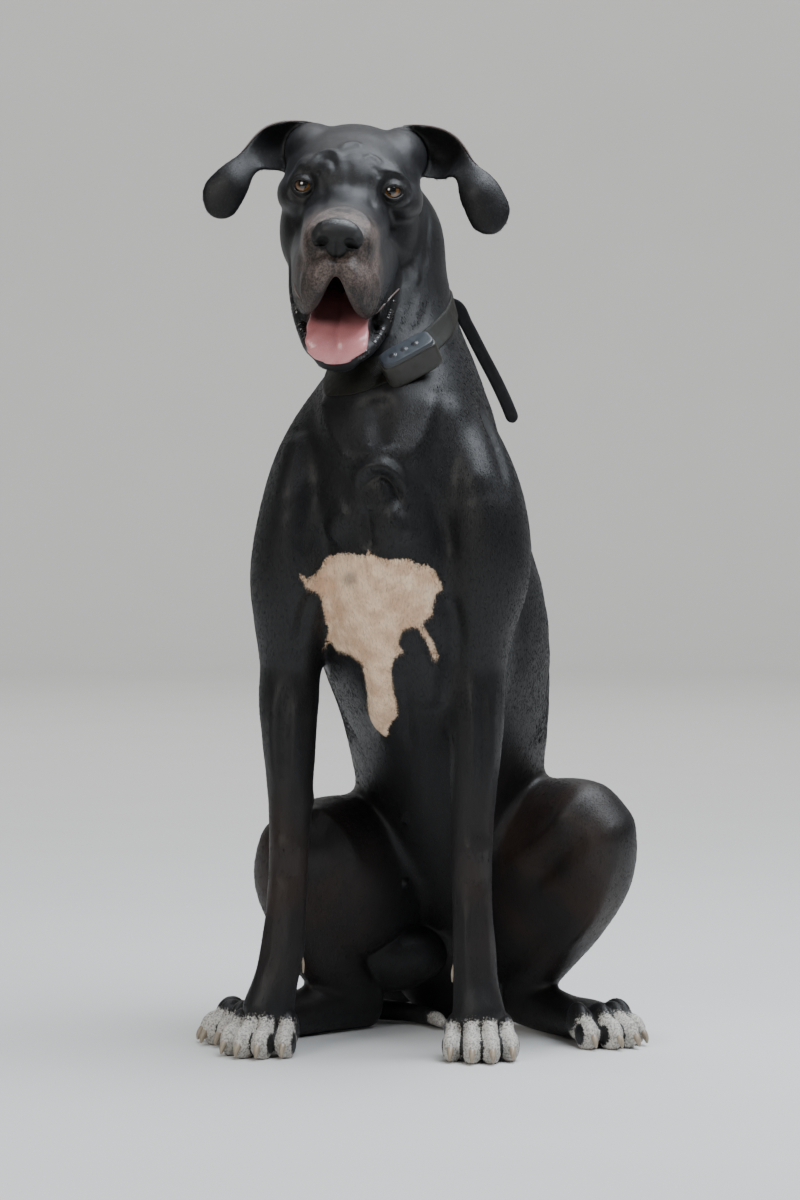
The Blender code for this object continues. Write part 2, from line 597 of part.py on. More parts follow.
# The animal is brought down to a light mesh before anything is laid on it.
co = coords(dog)
by_collar = 0.7 * smoothstep(0.035, 0.015, np.abs((co - COLLAR_POINT) @ COLLAR_NORMAL)) * (co[:, 2] > 0.7)
fine = np.maximum.reduce([smoothstep(0.80, 0.92, co[:, 2]), 0.5 * smoothstep(0.075, 0.045, co[:, 2]), by_collar])
thinned(dog, 6800, fine)
slab_cut(dog, 0.0)
bpy.context.view_layer.update()
skin_tree = BVHTree.FromObject(dog, bpy.context.evaluated_depsgraph_get())
angle = np.linspace(0, 2 * math.pi, RING, endpoint=False)
profile = [(-0.5, -0.0028), (-0.5, 0.0014), (-0.44, 0.0026), (0.44, 0.0026), (0.5, 0.0014), (0.5, -0.0028)]
rings = np.stack([around_neck(skin_tree, angle, w * STRAP_WIDTH, h) for w, h in profile], 1)
m = len(profile)
strap_verts = rings.reshape(-1, 3)
strap_faces = [[i * m + j, i * m + (j + 1) % m, ((i + 1) % RING) * m + (j + 1) % m, ((i + 1) % RING) * m + j]
               for i in range(RING) for j in range(m)]
strap = mesh_of("collar_strap", [(strap_verts, strap_faces)])


def box(centre, half, axes, bevel):
    """A box with rounded edges."""
    verts = np.array([[x, y, z] for x in (-1, 1) for y in (-1, 1) for z in (-1, 1)], float)
    bm = bmesh.new()
    vs = [bm.verts.new(v * half) for v in verts]
    bmesh.ops.convex_hull(bm, input=vs)
    bmesh.ops.dissolve_limit(bm, angle_limit=0.01, verts=bm.verts[:], edges=bm.edges[:])
    bmesh.ops.bevel(bm, geom=bm.edges[:], offset=bevel, segments=3, affect="EDGES", profile=0.5)
    v = np.array([v.co[:] for v in bm.verts])
    f = [[q.index for q in face.verts] for face in bm.faces]
    bm.free()
    return np.asarray(centre) + v @ np.asarray(axes, float), f


LONG = unit((0.868, 0.12, 0.48))
OUT = np.array([0.15, -0.85, -0.45])
OUT = unit(OUT - OUT @ LONG * LONG)
TRACKER = np.stack([LONG, OUT, np.cross(LONG, OUT)])
if TRACKER[2][2] < 0:
    TRACKER[2] *= -1
tracker = mesh_of("tracker", [box((0.0155, 0.0225, 0.814), (0.033, 0.015, 0.0180), TRACKER, 0.005)])

strap_end_rows = [
    (0.052, 0.163, 0.884, 0.0075, 0.0015, 0.0015),
    (0.066, 0.165, 0.880, 0.0078, 0.0015, 0.0015),
    (0.079, 0.171, 0.858, 0.0078, 0.0015, 0.0015),
    (0.098, 0.178, 0.822, 0.0075, 0.0015, 0.0015),
    (0.115, 0.182, 0.790, 0.0070, 0.0015, 0.0015),
    (0.128, 0.183, 0.762, 0.0068, 0.0015, 0.0015),
    (0.136, 0.184, 0.742, 0.0068, 0.0015, 0.0015)]
strap_end = mesh_of("collar_end", [loft(strap_end_rows, (0.89, 0, 0.46), around=12, along=16, square=6, dome=0.3)])


# Cuts 0.3 mm wide part the animal into its nodes.
def disc(outline, normal, thick=GAP):
    """A thin plate with the given outline."""
    n = len(outline)
    shift = unit(normal) * thick / 2
    centre = outline.mean(0)
    verts = np.concatenate([outline - shift, outline + shift, [centre - shift, centre + shift]])
    k = np.arange(n)
    j = (k + 1) % n
    faces = (np.stack([k, j, j + n, k + n], -1).tolist() + np.stack([j, k, np.full(n, 2 * n)], -1).tolist()
             + np.stack([k + n, j + n, np.full(n, 2 * n + 1)], -1).tolist())
    return verts, faces


def section_plate(centre, normal, margin=0.004, reach=0.16):
    """A plate a little wider than the section of the body through a point inside it."""
    normal = unit(normal)
    e1 = unit(np.cross(normal, (0.3, 1.0, 0.1)))
    e2 = np.cross(normal, e1)
    a = np.linspace(0, 2 * math.pi, 40, endpoint=False)[:, None]
    ways = np.cos(a) * e1 + np.sin(a) * e2
    r = np.minimum(surface_radius(skin_tree, centre, ways), reach) + margin
    return disc(np.asarray(centre) + ways * r[:, None], normal)


def plate(centre, across, down, half_across, half_down):
    across, down = unit(across), unit(down)
    corners = [np.asarray(centre, float) + i * half_across * across + j * half_down * down
               for i, j in ((-1, -1), (1, -1), (1, 1), (-1, 1))]
    return disc(np.array(corners), np.cross(across, down))


def local(x, y, z):
    return np.array([x, y, z]) @ HEAD + HEAD_ORIGIN


def body(u, w, z):
    return np.array([u, w, z]) @ BODY + np.asarray(BODY_ORIGIN)


# The backs of the two pieces that lie on the strap, then seats for those that sit in the skin.
for ob in (tracker, strap_end):
    boolean(ob, inflated(dog, "seat", GAP))
    boolean(ob, inflated(strap, "seat", GAP))
for ob in (nose, tongue, strap, *eyes):
    boolean(dog, inflated(ob, "seat", GAP))

R = BODY[1]
cuts = [
    section_plate(COLLAR_POINT + COLLAR_NORMAL * 0.020, COLLAR_NORMAL),
    section_plate((0.003, 0.130, 0.740), (-0.12, -0.30, 0.95)),
    plate(local(JAW_SHIFT, -0.0373, -0.1611), HEAD[0], -0.457 * HEAD[1] - 0.889 * HEAD[2], 0.080, 0.064),
    plate((-0.150, 0.122, 1.060), (-0.2, 0.95, 0), (0, 0, 1), 0.045, 0.045),
    plate((0.046, 0.122, 1.052), (0.2, 0.95, 0), (0, 0, 1), 0.045, 0.045),
    section_plate((0.0885, 0.079, 0.365), (0, 0.1, 1)),
    section_plate((-0.1305, 0.121, 0.385), (0, 0.1, 1)),
    section_plate((0.0895, 0.061, 0.072), (0.05, -0.25, 1)),
    section_plate((-0.149, 0.097, 0.072), (-0.12, -0.25, 1)),
    plate(body(0.098, 0.380, 0.155), R, (0, 0, 1), 0.235, 0.178),
    plate(body(0.170, 0.380, 0.333), R, BODY[0], 0.235, 0.0722),
    plate(body(-0.098, 0.360, 0.189), R, (0, 0, 1), 0.255, 0.144),
    plate(body(-0.170, 0.360, 0.333), R, BODY[0], 0.255, 0.0722),
    plate((0.180, 0.310, 0.080), (0.52, -0.85, 0), (0.85, 0.52, 0.15), 0.085, 0.060),
    plate((-0.075, 0.305, 0.080), (-0.64, -0.77, 0), (0.77, -0.64, -0.15), 0.085, 0.060),
    section_plate((0.058, 0.537, 0.042), (-0.766, 0.34, -0.545), reach=0.042),
]
for k, cut in enumerate(cuts):
    boolean(dog, mesh_of("cut_%d" % k, [cut]))


def shells(ob):
    """Groups of faces that hang together."""
    n = len(ob.data.vertices)
    e = np.empty(len(ob.data.edges) * 2, np.int32)
    ob.data.edges.foreach_get("vertices", e)
    e = e.reshape(-1, 2)
    label = np.arange(n)
    while True:
        low = np.minimum(label[e[:, 0]], label[e[:, 1]])
        new = label.copy()
        np.minimum.at(new, e[:, 0], low)
        np.minimum.at(new, e[:, 1], low)
        new = new[new]
        if (new == label).all():
            return label
        label = new


label = shells(dog)
co = coords(dog)
faces = [list(f.vertices) for f in dog.data.polygons]
marks = {
    "head": local(0, 0.085, 0.065), "jaw": local(JAW_SHIFT, -0.085, -0.195),
    "ear_right": (-0.213, 0.090, 1.003), "ear_left": (0.103, 0.085, 0.990),
    "neck": (0.010, 0.235, 0.800), "torso": (-0.030, -0.010, 0.600),
    "front_leg_right": (-0.130, 0.080, 0.250), "front_leg_left": (0.084, 0.045, 0.250),
    "front_paw_right": (-0.166, 0.070, 0.040), "front_paw_left": (0.0935, 0.036, 0.040),
    "hind_leg_right": (-0.114, 0.150, 0.250), "hind_leg_left": (0.228, 0.110, 0.270),
    "hind_foot_right": (-0.201, 0.176, 0.030), "hind_foot_left": (0.251, 0.153, 0.030),
    "tail": (-0.066, 0.470, 0.018)}
taken = []
for name, at in marks.items():
    own = label[np.argmin(((co - at) ** 2).sum(1))]
    assert own not in taken, name
    taken.append(own)
    rows = np.nonzero(label == own)[0]
    order = np.full(len(co), -1)
    order[rows] = np.arange(len(rows))
    piece = bpy.data.meshes.new(name)
    piece.from_pydata(co[rows].tolist(), [], [order[f].tolist() for f in faces if label[f[0]] == own])
    ob = bpy.data.objects.new(name, piece)
    bpy.context.scene.collection.objects.link(ob)
bpy.data.objects.remove(dog, do_unlink=True)

# The frame: the middle of the whole box over the floor.
solids = [ob for ob in bpy.data.objects if ob.type == "MESH"]
every = np.concatenate([coords(ob) for ob in solids])
low, high = every.min(0), every.max(0)
shift = np.array([(low[0] + high[0]) / 2, (low[1] + high[1]) / 2, 0.0])
COLOURS = {"eye": (0.20, 0.10, 0.03), "nose": (0.02, 0.02, 0.02), "tongue": (0.75, 0.30, 0.32),
           "collar": (0.05, 0.06, 0.05), "tracker": (0.09, 0.10, 0.10)}
for ob in solids:
    set_coords(ob, coords(ob) - shift)
    colour = COLOURS.get(ob.name.split("_")[0], (0.03, 0.03, 0.035))
    material = bpy.data.materials.new(ob.name)
    material.use_nodes = True
    skin = material.node_tree.nodes["Principled BSDF"]
    skin.inputs["Base Color"].default_value = (*colour, 1)
    skin.inputs["Roughness"].default_value = 0.4
    ob.data.materials.clear()
    ob.data.materials.append(material)
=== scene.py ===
# %% [markdown]
# # A sitting Great Dane, dressed on its solids
#
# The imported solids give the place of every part. This script lays one seamless skin over the
# flesh, adds eyes, nose, mouth, claws and collar, and paints them with procedural materials.
# Lengths are metres and the tables are millimetres, +Z is up, and the dog looks toward -Y.

# %% Load the frame
import math
import bmesh
import bpy
import numpy as np
from mathutils.bvhtree import BVHTree
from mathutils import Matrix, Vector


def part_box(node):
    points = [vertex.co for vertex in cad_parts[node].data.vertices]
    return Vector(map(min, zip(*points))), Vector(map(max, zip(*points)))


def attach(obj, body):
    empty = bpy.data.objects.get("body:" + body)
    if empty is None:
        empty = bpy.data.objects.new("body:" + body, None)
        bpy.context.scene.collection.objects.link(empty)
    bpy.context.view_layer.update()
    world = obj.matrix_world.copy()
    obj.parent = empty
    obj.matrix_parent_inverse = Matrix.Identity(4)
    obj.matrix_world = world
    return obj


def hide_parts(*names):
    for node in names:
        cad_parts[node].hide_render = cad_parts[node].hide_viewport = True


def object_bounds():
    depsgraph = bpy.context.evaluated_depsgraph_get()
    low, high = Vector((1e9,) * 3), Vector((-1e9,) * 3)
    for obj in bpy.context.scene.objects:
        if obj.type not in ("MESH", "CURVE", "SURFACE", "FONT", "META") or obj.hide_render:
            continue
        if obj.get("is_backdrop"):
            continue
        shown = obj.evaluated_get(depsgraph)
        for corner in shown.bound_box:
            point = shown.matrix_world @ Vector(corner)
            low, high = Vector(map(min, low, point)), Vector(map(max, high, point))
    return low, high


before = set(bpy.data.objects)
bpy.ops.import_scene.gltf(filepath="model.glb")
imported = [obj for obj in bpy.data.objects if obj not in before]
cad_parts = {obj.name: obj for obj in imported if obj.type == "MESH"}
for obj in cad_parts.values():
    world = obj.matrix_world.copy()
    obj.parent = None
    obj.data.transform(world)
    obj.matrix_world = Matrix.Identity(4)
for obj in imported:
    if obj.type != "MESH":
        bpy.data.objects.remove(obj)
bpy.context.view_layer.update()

# %% [markdown]
# ## Directions and the camera
# The body is turned 15 degrees to the dog's right, while the head looks almost at the camera.
# The forms below are laid out in the modelling frame of the solids, whose origin is under the
# chest. `SHIFT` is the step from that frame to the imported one, and the left eye measures it.

# %% Directions
BODY_YAW = 15.0
BODY_ORIGIN = np.array([-0.025, 0.0, 0.0])
HEAD_YAW, HEAD_ROLL, HEAD_PITCH = 3.5, 4.3, 10.0
HEAD_ORIGIN = np.array([-0.0595, 0.045, 1.010])
EYE_HALF_GAP, EYE_RADIUS = 0.0505, 0.0130
JAW_SHIFT = 0.004
SIDES = (("right", -1), ("left", 1))


def unit(v):
    v = np.asarray(v, float)
    return v / np.maximum(np.linalg.norm(v, axis=-1, keepdims=True), 1e-12)


def turned(yaw, pitch=0.0, roll=0.0):
    """Rows are the dog's left, back and up directions."""
    a, p, r = (math.radians(k) for k in (yaw, pitch, roll))
    front = np.array([-math.sin(a) * math.cos(p), -math.cos(a) * math.cos(p), -math.sin(p)])
    left = np.array([math.cos(a), -math.sin(a), -math.tan(r)])
    left = unit(left - left @ front * front)
    return np.stack([left, -front, np.cross(left, -front)])


BODY = turned(BODY_YAW)
HEAD = turned(HEAD_YAW, HEAD_PITCH, HEAD_ROLL)


def local(x, y, z):
    return np.array([x, y, z]) @ HEAD + HEAD_ORIGIN


def head_coords(co):
    """Points in the head's own frame."""
    return (co - HEAD_ORIGIN) @ HEAD.T


def body_coords(co):
    return (co - BODY_ORIGIN) @ BODY.T


eye_low, eye_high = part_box("eye_left")
SHIFT = local(EYE_HALF_GAP, 0, 0) - (np.array(eye_low) + np.array(eye_high)) / 2
print("step between the frames", SHIFT.round(4))

# %% Camera
PICTURE = (800, 1200)
FOCUS = 3929.0
FILM = 36
DISTANCE = 4.5
EYE_POINT = np.array([0.0, -DISTANCE, 0.6735]) - SHIFT
EYE_START = EYE_POINT + SHIFT
PITCH = math.atan(120 / FOCUS)


def placed_in_scene(ob):
    bpy.context.scene.collection.objects.link(ob)
    return ob


lens = bpy.data.cameras.new("camera")
lens.sensor_fit = "VERTICAL"
lens.sensor_height = FILM
lens.lens = FOCUS / PICTURE[1] * FILM
camera = placed_in_scene(bpy.data.objects.new("camera", lens))
camera.location = EYE_POINT
camera.rotation_euler = (math.pi / 2 - PITCH, 0, 0)
bpy.context.scene.camera = camera


def picture_rays(points):
    """Directions from the camera through points of the 800 by 1200 picture."""
    p = np.asarray(points, float)
    x, y = (p[:, 0] - PICTURE[0] / 2) / FOCUS, (PICTURE[1] / 2 - p[:, 1]) / FOCUS
    c, s = math.cos(PITCH), math.sin(PITCH)
    return unit(np.stack([x, c + s * y, c * y - s], -1))


print("camera %.2f m in front of the chest, lens %.0f mm" % (DISTANCE, lens.lens))

# %% [markdown]
# ## Shared tools
# A form is either a loft, whose sections ride on a smooth path, or an ellipsoid. Both are
# two-parameter grids. Forms are then joined by a voxel remesh and smoothed.

# %% Tables and curves
def metres(millimetres):
    return np.round(np.asarray(millimetres, float) / 1000, 7)


def table(text):
    """Rows of millimetres, parted by semicolons, as an array in metres."""
    return metres([row.split() for row in text.split(";")])


def placed(rows, axes, origin):
    rows = np.array(rows, float)
    rows[:, :3] = rows[:, :3] @ axes + np.asarray(origin)
    return rows


def mirrored(rows):
    rows = np.array(rows, float)
    rows[:, 0] *= -1
    return rows


def smoothstep(low, high, x):
    t = np.clip((x - low) / (high - low), 0, 1)
    return t * t * (3 - 2 * t)


def curve_through(points, count):
    """A smooth curve through rows of any width, read evenly along its length."""
    p = np.asarray(points, float)
    chord = np.linalg.norm(np.diff(p[:, :3], axis=0), axis=1)
    knots = np.concatenate([[0.0], np.cumsum(np.maximum(chord, 1e-6))])
    slope = np.gradient(p, knots, axis=0)
    t = np.linspace(0, knots[-1], count)
    i = np.clip(np.searchsorted(knots, t, side="right") - 1, 0, len(p) - 2)
    h = (knots[i + 1] - knots[i])[:, None]
    u = (t - knots[i])[:, None] / h
    return ((2 * u**3 - 3 * u**2 + 1) * p[i] + (u**3 - 2 * u**2 + u) * h * slope[i]
            + (3 * u**2 - 2 * u**3) * p[i + 1] + (u**3 - u**2) * h * slope[i + 1])


# %% Grids
def ring_quads(rows, around, closed=False):
    """Quads between neighbouring rings, and from the last ring to the first where closed."""
    i, j = np.meshgrid(np.arange(rows if closed else rows - 1), np.arange(around), indexing="ij")
    k, below = (j + 1) % around, (i + 1) % rows
    corners = [i * around + j, i * around + k, below * around + k, below * around + j]
    return np.stack(corners, -1).reshape(-1, 4).tolist()


def grid_faces(rows, around):
    """Quads of a closed tube of rings, with a fan at each end."""
    j = np.arange(around)
    k = (j + 1) % around
    last = (rows - 1) * around
    first_fan = np.stack([np.full(around, rows * around), k, j], -1)
    last_fan = np.stack([np.full(around, rows * around + 1), last + j, last + k], -1)
    return ring_quads(rows, around) + first_fan.tolist() + last_fan.tolist()


def circle(around):
    return np.linspace(0, 2 * math.pi, around, endpoint=False)


def loft(stations, side=(1, 0, 0), around=28, along=28, square=2.0, dome=0.6, keel=0.0):
    """Sections along a smooth path, each a rounded oval.

    Each row is x, y, z, half width, depth on one side, depth on the other. A ring's point is
    the centre plus half width times cos(a) across and depth times sin(a) outward, and both
    ends close with a dome.
    """
    rows = curve_through(stations, along)
    centre = rows[:, :3]
    path = unit(np.gradient(centre, axis=0))
    side = np.asarray(side, float)
    across = unit(side - (path @ side)[:, None] * path)
    a = np.linspace(0, math.pi / 2, 6)[1:-1]
    grow, reach = np.cos(a)[:, None], dome * np.sin(a)[:, None]
    parts = []
    for k, sign in ((0, -1.0), (-1, 1.0)):
        size = rows[k, 3:6].mean()
        parts.append((centre[k] + sign * path[k] * size * reach, grow * rows[k, 3:6],
                      centre[k] + sign * path[k] * size * dome))
    centre = np.concatenate([parts[0][0][::-1], centre, parts[1][0]])
    radii = np.concatenate([parts[0][1][::-1], rows[:, 3:6], parts[1][1]])
    across, path = (np.concatenate([np.repeat(v[:1], 4, 0), v, np.repeat(v[-1:], 4, 0)])
                    for v in (across, path))
    depth_way = np.cross(path, across)
    angle = circle(around)
    c, d = np.cos(angle), np.sin(angle)
    shape = (np.abs(c) ** square + np.abs(d) ** square) ** (-1 / square)
    c, d = c * shape, d * shape
    depth = np.where(d > 0, radii[:, 1:2], radii[:, 2:3])
    c = c * (1 - keel * np.clip(d, 0, 1) ** 1.5)
    ring = (centre[:, None] + across[:, None] * (radii[:, :1] * c)[..., None]
            + depth_way[:, None] * (depth * d)[..., None])
    verts = np.concatenate([ring.reshape(-1, 3), [parts[0][2], parts[1][2]]])
    return verts, grid_faces(len(ring), around)


def ball(centre, radii, axes=np.eye(3), rings=20, around=30):
    """An ellipsoid with its three radii along the rows of axes."""
    lat = np.linspace(-math.pi / 2, math.pi / 2, rings + 1)[1:-1]
    la, lo = np.meshgrid(lat, circle(around), indexing="ij")
    p = np.stack([np.cos(la) * np.cos(lo), np.cos(la) * np.sin(lo), np.sin(la)], -1).reshape(-1, 3)
    p = np.concatenate([p, [[0, 0, -1], [0, 0, 1]]])
    return np.asarray(centre) + (p * radii) @ np.asarray(axes, float), grid_faces(len(lat), around)


# %% Meshes
def smooth_faces(mesh):
    mesh.polygons.foreach_set("use_smooth", [True] * len(mesh.polygons))


def mesh_of(name, shapes, material=None):
    """One mesh object from several (verts, faces) pairs, with faces out."""
    verts, faces, n = [], [], 0
    for v, f in shapes:
        verts.append(v)
        faces += [[x + n for x in q] for q in f]
        n += len(v)
    mesh = bpy.data.meshes.new(name)
    mesh.from_pydata(np.concatenate(verts).tolist(), [], faces)
    bm = bmesh.new()
    bm.from_mesh(mesh)
    bmesh.ops.recalc_face_normals(bm, faces=bm.faces)
    bm.to_mesh(mesh)
    bm.free()
    smooth_faces(mesh)
    if material:
        mesh.materials.append(material)
    return placed_in_scene(bpy.data.objects.new(name, mesh))


def applied(ob):
    bpy.context.view_layer.update()
    graph = bpy.context.evaluated_depsgraph_get()
    old, ob.data = ob.data, bpy.data.meshes.new_from_object(ob.evaluated_get(graph))
    ob.modifiers.clear()
    bpy.data.meshes.remove(old)
    smooth_faces(ob.data)
    return ob


def remeshed(ob, voxel):
    step = ob.modifiers.new("remesh", "REMESH")
    step.mode = "VOXEL"
    step.voxel_size = voxel
    return applied(ob)


def read(items, what, width=3, kind=np.float32):
    """One property of every vertex, edge or face as rows of numbers."""
    out = np.empty(len(items) * width, kind)
    items.foreach_get(what, out)
    return out.reshape(-1, width)


def coords(ob):
    return read(ob.data.vertices, "co").astype(float)


def set_coords(ob, co):
    ob.data.vertices.foreach_set("co", np.asarray(co, np.float32).ravel())
    ob.data.update()


def normals(ob):
    return read(ob.data.vertex_normals, "vector").astype(float)


def smoothed(ob, rounds, weight=0.5, mask=None):
    """Each round moves a point part of the way to the mean of its neighbours."""
    co, e = coords(ob), read(ob.data.edges, "vertices", 2, np.int32)
    n = len(co)
    a = np.concatenate([e[:, 0], e[:, 1]])
    b = np.concatenate([e[:, 1], e[:, 0]])
    count = np.bincount(a, minlength=n).astype(float)[:, None]
    w = weight if mask is None else (weight * mask)[:, None]
    for _ in range(rounds):
        mean = np.stack([np.bincount(a, co[b, k], n) for k in range(3)], -1) / count
        co = co + w * (mean - co)
    set_coords(ob, co)


def shape_of(ob):
    """A mesh object's points and faces, and the object is removed."""
    out = coords(ob), [list(f.vertices) for f in ob.data.polygons]
    bpy.data.objects.remove(ob, do_unlink=True)
    return out


def triangles(ob):
    return sum(len(f.vertices) - 2 for f in ob.data.polygons)


# %% [markdown]
# ## The body
# Lofts for trunk, neck, limbs and tail, joined at 4.5 mm and smoothed until the masses run
# into each other. The rows are the same real sizes as in the solids: x, y, z, half width and
# the two depths.

# %% Body forms
trunk = table("""
    0 85 735 85 115 90; 0 125 665 118 150 120; 0 165 585 135 165 135; 8 205 500 142 160 130;
    10 258 410 130 136 123; 4 310 320 118 120 120; 0 365 235 110 100 120; 0 410 165 100 85 110""")
neck = table("""
    -28 172 1010 50 55 48; -14 162 965 64 64 56; -8 152 910 64 74 68; -2 145 850 72 88 84;
    3 138 790 92 108 98; 3 126 725 110 128 112; -2 122 650 126 130 113""")
TUBES = (
    ("withers", (1, 0, 0), """
    -4 170 870 30 50 40; 14 185 800 50 60 50; 28 220 720 60 70 48; 44 270 620 50 70 32;
    62 325 500 30 50 12"""),
    ("left upper arm", (1, 0, 0), """
    45 150 770 38 55 55; 76 105 700 46 75 75; 95 60 630 54 70 90; 100 60 565 53 62 90;
    94 80 505 42 52 70; 88 100 450 36 45 50"""),
    ("right upper arm", (1, 0, 0), """
    -66 185 770 34 55 55; -100 145 700 42 75 75; -118 105 630 48 75 90; -126 105 560 51 65 90;
    -129 125 500 43 55 70; -130 145 450 35 47 50"""),
    ("left foreleg", (1, 0, 0), """
    89 94 460 36 45 46; 89 85 420 36 41 42; 88.5 78 370 33 36 38; 85 74 300 28.5 30 32;
    83.5 72 235 26.2 26 28; 84 70 180 25.5 25 27; 86.5 67 125 27.5 27 28; 88.5 63 85 27 24 27;
    92 55 50 32 26 28"""),
    ("right foreleg", (0.95, 0.3, 0), """
    -129 136 460 35 45 46; -131 127 420 37 41 42; -130.5 119 370 33.5 36 38; -129 112 300 28 30 32;
    -130.5 108 235 25.8 26 28; -133 105 180 25.5 25 27; -137 102 125 27.2 27 28; -146 99 85 27 24 27;
    -155 93 50 32 26 28"""),
    ("left thigh", (0.92, 0.40, 0), """
    110 430 170 70 110 125; 140 355 190 74 115 130; 175 275 220 68 95 115; 209 205 252 55 68 90;
    228 155 264 48 55 62"""),
    ("right thigh", (0.92, -0.40, 0), """
    20 445 165 70 105 125; -18 370 180 74 110 92; -55 290 205 68 90 115; -90 225 230 55 66 90;
    -114 190 240 48 53 62"""),
    ("left shank", (0.82, -0.57, 0), """
    236 155 262 46 50 50; 237 180 210 44 46 50; 215 220 150 38 40 44; 185 265 98 30 30 34;
    160 300 62 27 27 28; 148 322 45 24 26 26"""),
    ("right shank", (0.80, 0.60, 0), """
    -122 188 240 46 46 50; -132 203 200 44 44 50; -116 232 145 42 40 44; -92 258 95 38 32 36;
    -66 290 64 32 28 30; -46 312 48 25 26 26"""),
    ("left hind foot", (0.815, 0.58, 0), """
    146 325 40 23 26 36; 175 278 34 23 26 34; 205 228 28 25 24 28; 232 185 26 34 24 26;
    243 165 24 36 20 24"""),
    ("right hind foot", (0.64, -0.77, 0), """
    -40 316 40 23 28 40; -85 276 36 25 30 36; -130 236 29 26 26 30; -172 200 26 34 24 26;
    -188 190 24 36 20 24"""))
tail = table("""
    95 490 110 34 32 32; 80 525 60 27 26 26; 35 545 28 22 22 24; -25 525 18 19 19 21;
    -66 470 16 17 17 19; -62 410 15 16 16 18; -30 370 16 14 14 17; 12 352 14 12 12 15;
    40 322 12 10 10 13; 50 290 10 7 7 10""")

body_forms = [loft(placed(trunk, BODY, BODY_ORIGIN), BODY[0], around=36, along=36, keel=0.28),
              loft(neck, BODY[0], around=36, along=30)]
body_forms += [loft(table(rows), side, along=40 if "foreleg" in name else 28) for name, side, rows in TUBES]
# The two hocks, the rump and the tail.
body_forms += [
    ball((0.146, 0.345, 0.062), (0.020, 0.022, 0.022)),
    ball((-0.030, 0.332, 0.055), (0.020, 0.022, 0.020)),
    ball((0.078, 0.425, 0.115), (0.105, 0.095, 0.125), BODY),
    loft(tail, (0, 0, 1), around=16, along=60)]

# %% Join the body
BODY_VOXEL = 0.0045
trunk_mesh = remeshed(mesh_of("body", body_forms), BODY_VOXEL)
z = coords(trunk_mesh)[:, 2]
# The masses run into each other between the paws and the head, and the feet keep more shape.
smoothed(trunk_mesh, 30, mask=np.clip((z - 0.08) / 0.06, 0, 1) * np.clip((0.90 - z) / 0.06, 0, 1))
smoothed(trunk_mesh, 4, mask=np.clip((z - 0.02) / 0.06, 0.35, 1))
print("body joined:", triangles(trunk_mesh), "triangles")

# %% [markdown]
# ## Head, ears and toes
# The head is built in its own frame, midway between the eyes: left, back, up. The ears are
# thin cupped sheets. Each toe is three ellipsoids, and its claw comes later as its own piece.

# %% Head forms
def in_head(rows):
    return placed(rows, HEAD, HEAD_ORIGIN)


def shifted(rows):
    """The open jaw hangs a little toward the dog's left."""
    rows = np.array(rows, float)
    rows[:, 0] += JAW_SHIFT * np.clip((0.03 - rows[:, 1]) / 0.06, 0, 1)
    return rows


def head_ball(x, y, z, rx, ry, rz):
    return ball(local(x, y, z), (rx, ry, rz), HEAD)


def head_loft(rows, side=HEAD[0], **shape):
    return loft(in_head(rows), side, **shape)


skull = table("""
    0 160 5 42 45 50; 0 125 5 68 58 62; 0 85 5 78 60 62; 0 45 3 78 56 55; 0 10 0 62 44 50;
    0 -14 -15 46 26 40""")
muzzle = table("""
    0 20 -38 54 34 45; 0 -20 -41 49 34 45; 0 -60 -46 46.5 34 42; 0 -100 -50 44 31 40;
    0 -124 -53 40 27 34""")
bridge = table("""
    0 20 12 34 22 22; 0 -12 -6 30 18 20; 0 -45 -21 29 16 18; 0 -85 -31 28 15 16""")
jaw = table("""
    0 80 -72 58 35 40; 0 40 -104 53 28 36; 0 0 -135 45 22 30; 0 -40 -161 36 17 25; 0 -70 -178 31 15 23;
    0 -88 -184 26 12 18""")
flew = table("""
    10 -137 -72 13 14 14; 21.5 -131 -85 14.8 26 28; 32 -112 -96 15.5 36 38; 40 -82 -96 13 40 38;
    44 -46 -88 13 40 34; 49 -10 -80 12 36 30; 53 22 -72 12 30 28""")
lip = table("""
    59 30 -90 9 10 10; 57 10 -122 8 9 9; 51 -12 -150 7 8 8; 44 -38 -166 6 8 8; 34 -64 -178 6 8 8;
    20 -86 -184 6 7 7; 0 -95 -185 6 7 7""")
web = table("""
    53 28 -104 7 26 26; 51 0 -126 6 22 22; 43 -26 -146 6 14 14""")
flew_right = mirrored(flew)
flew_right[:3, 0] += 0.0030
head_forms = [head_loft(skull, around=40, along=40),
              head_loft(muzzle, around=40, along=40, square=2.4, dome=0.4),
              head_loft(flew, around=24, along=40), head_loft(flew_right, around=24, along=40),
              head_loft(shifted(lip), around=14, along=44),
              head_loft(shifted(mirrored(lip)), around=14, along=44),
              head_loft(shifted(jaw), around=36, square=2.4, dome=0.4),
              head_ball(0, 0.160, 0.040, 0.020, 0.020, 0.020), head_loft(bridge),
              head_loft(shifted(web), around=20), head_loft(shifted(mirrored(web)), around=20)]
# Cheek, back of the cheek, temple, outer brow, inner brow and ear root, then the right throat.
HEAD_BALLS = table("""
    53 60 -55 29 55 55; 50 45 -105 17 40 45; 60 40 -14 26 50 26; 46 12 -4 26 24 30;
    36 12 20 28 22 16; 50 95 30 34 55 34""")
for _, m in SIDES:
    head_forms += [head_ball(m * x, *rest) for x, *rest in HEAD_BALLS]
head_forms.append(head_ball(-0.030, 0.100, -0.070, 0.042, 0.055, 0.055))


